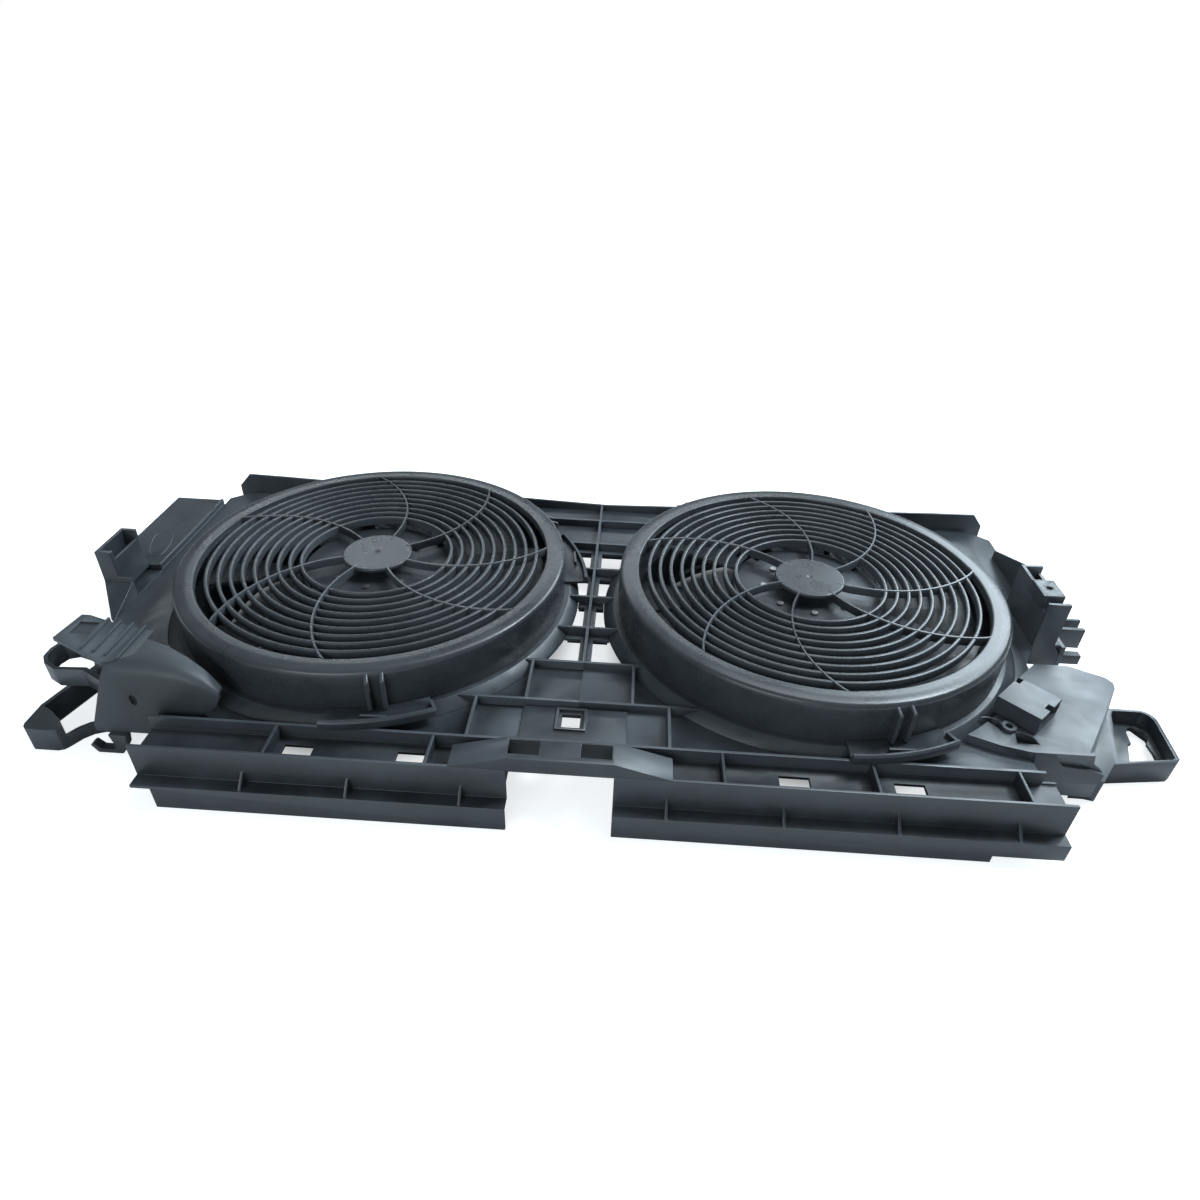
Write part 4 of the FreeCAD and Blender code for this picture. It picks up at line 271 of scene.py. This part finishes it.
def layGuard(side, size):
    low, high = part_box("guard_rim_" + side)[0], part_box("guard_grille_" + side)[1]
    centre = Vector((fanCentres[side].x, fanCentres[side].y, 0))
    outer = (high.x - low.x) / 2
    top = high.z
    foot = low.z
    lip = size["lipRadius"]
    wall = size["wall"]
    rounding = size["rimRound"]
    shape = bmesh.new()
    inner = size["innerRound"]
    under = top - size["crownThick"]
    across, rise = size["footChamfer"]
    soft = size["lipRound"]
    outline = [(lip, top - size["lipDepth"]), (lip + wall, top - size["lipDepth"]),
               (lip + wall, under - 0.0003)]
    outline += arcPoints((outer - wall - inner, under - inner), inner, 90, 0, 4)
    outline += [(outer - wall, foot + rise), (outer - wall + across, foot), (outer - across, foot),
                (outer, foot + rise)]
    outline += arcPoints((outer - rounding, top - rounding - size["crownFall"]), rounding, 0, 78, 7)
    outline += [(outer - inset, top - fall) for inset, fall in size["rimFlat"]]
    ease, sink = size["lipEase"]
    outline += [(lip + soft + ease, top - sink)]
    outline += arcPoints((lip + soft, top - soft - sink), soft, 90, 180, 4)
    turnedShape(shape, outline, centre, size["steps"])
    pitch = (size["ringLast"] - size["ringFirst"]) / (size["ringCount"] - 1)
    for number in range(size["ringCount"]):
        ring = ringOutline(size["ringFirst"] + number * pitch, size["ringWidth"], top - size["ringDrop"],
                           size["ringDepth"], size["ringCrown"])
        turnedShape(shape, ring, centre, size["steps"])
    disc = size["discRadius"]
    soft = size["discRound"]
    discTop = top - size["discDrop"]
    discFoot = discTop - size["discThick"]
    across, rise = size["discChamfer"]
    outline = [(0.0, discTop - size["dimple"]), (0.0, discFoot), (disc - across, discFoot),
               (disc, discFoot + rise)]
    outline += arcPoints((disc - soft, discTop - soft), soft, 0, 90, 5)
    wide, edge, floor = size["dimpleEdge"]
    outline += [(disc - soft - 0.0004, discTop), (wide, discTop), (edge, discTop),
                (floor, discTop - size["dimple"])]
    turnedShape(shape, outline, centre, size["discSteps"])
    outwards(shape)
    nodes = ("guard_grille_" + side, "guard_rim_" + side)
    finished("guardMoulding_" + side, shape, root, "guard_plastic", nodes, 40)

    spokes = bmesh.new()
    for end in size["spokeEnds"]:
        before = set(spokes.verts)
        spokeBar(spokes, top - size["spokeDrop"], size)
        made = [vert for vert in spokes.verts if vert not in before]
        bmesh.ops.rotate(spokes, verts=made, cent=(0, 0, 0),
                         matrix=Matrix.Rotation(math.radians(end - size["spokeLead"]), 3, "Z"))
    bmesh.ops.translate(spokes, verts=spokes.verts, vec=centre)
    # trim the bars where they meet the inside of the rim lip
    reach = lip + size["lipRound"]
    for vert in spokes.verts:
        away = Vector((vert.co.x - centre.x, vert.co.y - centre.y))
        if away.length > reach:
            away *= reach / away.length
            vert.co.x, vert.co.y = centre.x + away.x, centre.y + away.y
    bmesh.ops.dissolve_degenerate(spokes, edges=spokes.edges, dist=1e-5)
    outwards(spokes)
    finished("guardSpokes_" + side, spokes, root, "guard_plastic", nodes, 50)

    ears = bmesh.new()
    earFoot = foot + size["earLift"]
    tall = top - size["earDrop"] - earFoot
    for angle in size["earAngles"]:
        for shift in (-size["earSplit"] / 2 + size["earWall"] / 2,
                      size["earSplit"] / 2 - size["earWall"] / 2):
            long = size["earReach"] + wall
            matrix = (Matrix.Translation(centre) @ Matrix.Rotation(math.radians(angle), 4, "Z")
                      @ Matrix.Translation((outer + size["earReach"] - long / 2, shift, earFoot + tall / 2))
                      @ Matrix.Diagonal((long, size["earWall"], tall, 1)))
            made = bmesh.ops.create_cube(ears, size=1, matrix=matrix)["verts"]
            below, beyond = size["earEdge"]
            outerTop = [vert for vert in made if vert.co.z > top - below
                        and (vert.co.xy - centre.xy).length > outer + beyond]
            for vert in outerTop:
                vert.co.z -= size["earSlope"]
    outwards(ears)
    softenEdges(finished("guardEars_" + side, ears, root, "guard_plastic", nodes), size["earRound"], 3)


for side in ("left", "right"):
    layGuard(side, guardSizes)
print("guards turned")


# pieces whose moulded shape comes from the frame, with their edges rounded

edgeWidths = {
    "shroud_left": 0.0006, "shroud_right": 0.0006, "rear_wall": 0.0007, "front_rail_left": 0.0006,
    "front_rail_right": 0.0006, "rail_arch": 0.0006, "catch_plate": 0.0005, "cable_duct": 0.0006,
    "cable_duct_cover": 0.0008, "left_hook_post": 0.0007, "left_bracket": 0.0007, "left_upper_loop": 0.0006,
    "left_front_ear": 0.0006, "left_foot_hook": 0.0006, "skirt_left": 0.0005, "skirt_right": 0.0005,
    "right_post": 0.0007, "right_clip_comb": 0.0006, "corner_platform": 0.0035, "connector_box": 0.0018,
    "right_ear": 0.0006, "guard_latches_left": 0.0005, "guard_latches_right": 0.0005, "fan_left": 0.0005,
    "fan_right": 0.0005, "duct_ring_left": 0.0006, "duct_ring_right": 0.0006,
    "motor_carrier_left": 0.0006, "motor_carrier_right": 0.0006,
}
slotOf = {entry["node"]: entry["material_slot"] for entry in frame["record"]["subparts"]}
bodyOf = {node: body for body, nodes in frame["record"]["behaviour"]["bodies"].items() for node in nodes}


def roundedCopy(node, width):
    shape = bmesh.new()
    shape.from_mesh(frame["nodes"][node].data)
    bmesh.ops.remove_doubles(shape, verts=shape.verts, dist=1e-6)
    bmesh.ops.dissolve_limit(shape, angle_limit=math.radians(0.5), verts=shape.verts, edges=shape.edges)
    words = node.split("_")
    name = words[0] + "".join(word.capitalize() for word in words[1:]) + "Rounded"
    piece = finished(name, shape, bodyOf[node], slotOf[node], (node,))
    return softenEdges(piece, width, 4 if width > 0.0015 else 2)


for node, width in edgeWidths.items():
    roundedCopy(node, width)
for node, thing in frame["nodes"].items():
    thing.data.materials.clear()
    thing.data.materials.append(finishes[slotOf[node]])
print("moulded pieces rounded")


# thin rims of the platform's two pockets and the raised outline on the duct's cover

trimSizes = {
    "rimRadius": 0.0007, "rimSides": 8, "platformTop": 0.0461, "coverTop": 0.044, "coverSink": 0.00028,
    "pockets": (
        ((116.5, 50.5), (112.0, 51.4), (107.5, 50.6), (104.6, 48.4), (103.8, 44.0)),
        ((97.0, 37.4), (92.0, 37.2), (88.0, 35.4), (85.4, 31.6), (84.6, 27.0)),
    ),
    "cornerRight": 402.0, "panelFront": 172.0,
    "coverOval": ((-401.8, 40.5), (-408.2, 63.2), (-397.5, 68.1), (-389.6, 56.1), (-386.3, 33.6),
                  (-394.0, 29.3)),
}


def bead(shape, points, radius, sides, closed=False):
    # a round bead along a chain of points that lie at one height
    count = len(points)
    up = Vector((0, 0, 1))
    hoops = []
    for index, point in enumerate(points):
        before = points[index - 1] if index or closed else point
        after = points[(index + 1) % count] if index + 1 < count or closed else point
        along = (after - before).normalized()
        place = Matrix((up, along.cross(up), along)).transposed().to_4x4()
        place.translation = point
        capped = not closed and index in (0, count - 1)
        made = bmesh.ops.create_circle(shape, cap_ends=capped, segments=sides, radius=radius, matrix=place)
        hoops.append(list(dict.fromkeys(edge for vert in made["verts"] for edge in vert.link_edges)))
    pairs = list(zip(hoops, hoops[1:])) + ([(hoops[-1], hoops[0])] if closed else [])
    for hoop, following in pairs:
        bmesh.ops.bridge_loops(shape, edges=hoop + following)


def smoothChain(points, closed, cuts=6):
    # a Catmull-Rom curve through the points
    count = len(points)
    last = count if closed else count - 1
    chain = []
    for index in range(last):
        pick = [points[(index + step) % count] if closed else points[max(0, min(count - 1, index + step))]
                for step in (-1, 0, 1, 2)]
        for cut in range(cuts):
            part = cut / cuts
            chain.append(0.5 * (2 * pick[1] + (pick[2] - pick[0]) * part
                                + (2 * pick[0] - 5 * pick[1] + 4 * pick[2] - pick[3]) * part ** 2
                                + (3 * pick[1] - pick[0] - 3 * pick[2] + pick[3]) * part ** 3))
    return chain if closed else chain + [points[-1]]


def trimPiece(size):
    radius, sides = size["rimRadius"], size["rimSides"]
    rims = bmesh.new()
    for pocket in size["pockets"]:
        corners = [Vector(((size["cornerRight"] - across) / 1000 + midPoint.x,
                           (along - size["panelFront"]) / 1000 + midPoint.y, size["platformTop"]))
                   for across, along in pocket]
        bead(rims, smoothChain(corners, False), radius, sides)
    outwards(rims)
    finished("pocketRims", rims, root, "shroud_plastic")
    oval = bmesh.new()
    height = size["coverTop"] - size["coverSink"]
    corners = [Vector((across / 1000 + midPoint.x, along / 1000 + midPoint.y, height))
               for across, along in size["coverOval"]]
    bead(oval, smoothChain(corners, True), radius, sides, True)
    outwards(oval)
    finished("coverOutline", oval, root, "shroud_plastic")


trimPiece(trimSizes)
print("trim laid")


# floor, light and camera

cameraFit = {
    "place": (0.02784, -0.55155, 0.42794), "azimuth": 1.85, "elevation": 34.88, "roll": 2.3,
    "lens": 23.82, "shift": (-0.0025, 0.0008),
}
stageLook = {
    "paper": (0.7, 0.71, 0.72, 1), "nearGlow": 0.78, "shadowReach": 0.5, "whiteReach": 1.1,
    "ductShade": (0.135, 0.165), "glowTint": (0.96, 0.985, 1, 1),
    "worldForCamera": 1.0, "worldForObject": 0.25, "worldTint": (0.84, 0.94, 1.0, 1),
}
studioPanels = {
    # place, aim, size, power, tint
    "ceilingPanel": ((0.5, 0.5, 1.9), (0.1, 0, 0), (1.2, 0.9), 13, (0.88, 0.95, 1.0)),
    "windowPanel": ((1.5, 1.8, 1.4), (0.15, 0, 0), (1.2, 1.0), 38, (0.78, 0.91, 1.0)),
    "keyPanel": ((1.25, 0.5, 1.7), (0.0, 0, 0), (0.6, 0.45), 30, (0.8, 0.92, 1.0)),
    "backStrip": ((-0.35, 1.7, 1.15), (-0.1, 0, 0), (1.9, 0.14), 7, (0.84, 0.94, 1.0)),
    "frontFill": ((-0.7, -1.8, 0.9), (0, 0, 0), (1.4, 0.9), 14, (0.86, 0.95, 1.0)),
}


def stageFloor():
    shape = bmesh.new()
    bmesh.ops.create_grid(shape, x_segments=1, y_segments=1, size=6)
    mesh = bpy.data.meshes.new("floor")
    shape.to_mesh(mesh)
    shape.free()
    floor = bpy.data.objects.new("floor", mesh)
    bpy.context.scene.collection.objects.link(floor)
    # seen by the camera the paper glows to white away from the fans and keeps the shadow near them
    paint = Paint(bpy.data.materials.new("floorPaper"))
    rays = paint.node("ShaderNodeLightPath", {}, {}, "Is Camera Ray")
    place = paint.node("ShaderNodeTexCoord", {}, {}, "Object")
    far = paint.node("ShaderNodeVectorMath", {"operation": "LENGTH"}, {0: place}, "Value")
    glow = paint.node("ShaderNodeMapRange", {"interpolation_type": "SMOOTHSTEP"},
                      {"Value": far, "To Min": stageLook["nearGlow"], "To Max": 1.0,
                       "From Min": stageLook["shadowReach"], "From Max": stageLook["whiteReach"]})
    near, clear = stageLook["ductShade"]
    for centre in fanCentres.values():
        away = paint.node("ShaderNodeVectorMath", {"operation": "DISTANCE"},
                          {0: place, 1: (centre.x, centre.y, 0)}, "Value")
        glow = glow * paint.node("ShaderNodeMapRange", {},
                                 {"Value": away, "From Min": near, "From Max": clear})
    white = paint.node("ShaderNodeMix", {"data_type": "RGBA"},
                       {"Factor": rays * glow, "A": (0, 0, 0, 1), "B": stageLook["glowTint"]}, "Result")
    mesh.materials.append(paint.give(Base_Color=stageLook["paper"], Roughness=0.9, Emission_Color=white,
                                     Emission_Strength=1.0))


def softbox(name, place, aim, size, power, tint):
    light = bpy.data.lights.new(name, "AREA")
    light.shape = "RECTANGLE"
    light.size, light.size_y = size
    light.energy = power
    light.color = tint
    lamp = bpy.data.objects.new(name, light)
    bpy.context.scene.collection.objects.link(lamp)
    lamp.location = place
    lamp.rotation_euler = (Vector(aim) - Vector(place)).to_track_quat("-Z", "Y").to_euler()


def studioLight():
    for name, panel in studioPanels.items():
        softbox(name, *panel)
    sky = Paint(bpy.data.worlds.new("studioWorld"), "Background")
    rays = sky.node("ShaderNodeLightPath", {}, {}, "Is Camera Ray")
    amount = sky.node("ShaderNodeMapRange", {}, {"Value": rays, "To Min": stageLook["worldForObject"],
                                                 "To Max": stageLook["worldForCamera"]})
    tint = sky.node("ShaderNodeMix", {"data_type": "RGBA"},
                    {"Factor": rays, "A": stageLook["worldTint"], "B": (1, 1, 1, 1)}, "Result")
    bpy.context.scene.world = sky.give(Color=tint, Strength=amount)


def photoCamera(fit):
    azimuth, elevation, roll = (math.radians(fit[key]) for key in ("azimuth", "elevation", "roll"))
    back = Vector((math.sin(azimuth) * math.cos(elevation), -math.cos(azimuth) * math.cos(elevation),
                   math.sin(elevation)))
    right = Vector((math.cos(azimuth), math.sin(azimuth), 0))
    up = back.cross(right)
    turned = Matrix.Rotation(roll, 3, back)
    axes = Matrix((turned @ right, turned @ up, back)).transposed()
    data = bpy.data.cameras.new("photoCamera")
    data.lens = fit["lens"]
    data.sensor_width = 36
    data.shift_x, data.shift_y = fit["shift"]
    data.clip_start = 0.01
    camera = bpy.data.objects.new("photoCamera", data)
    bpy.context.scene.collection.objects.link(camera)
    camera.location = Vector(fit["place"]) + Vector((midPoint.x, midPoint.y, 0))
    camera.rotation_euler = axes.to_euler()
    bpy.context.scene.camera = camera


stageFloor()
studioLight()
photoCamera(cameraFit)
bpy.context.scene.view_settings.view_transform = "Standard"
print("stage set")
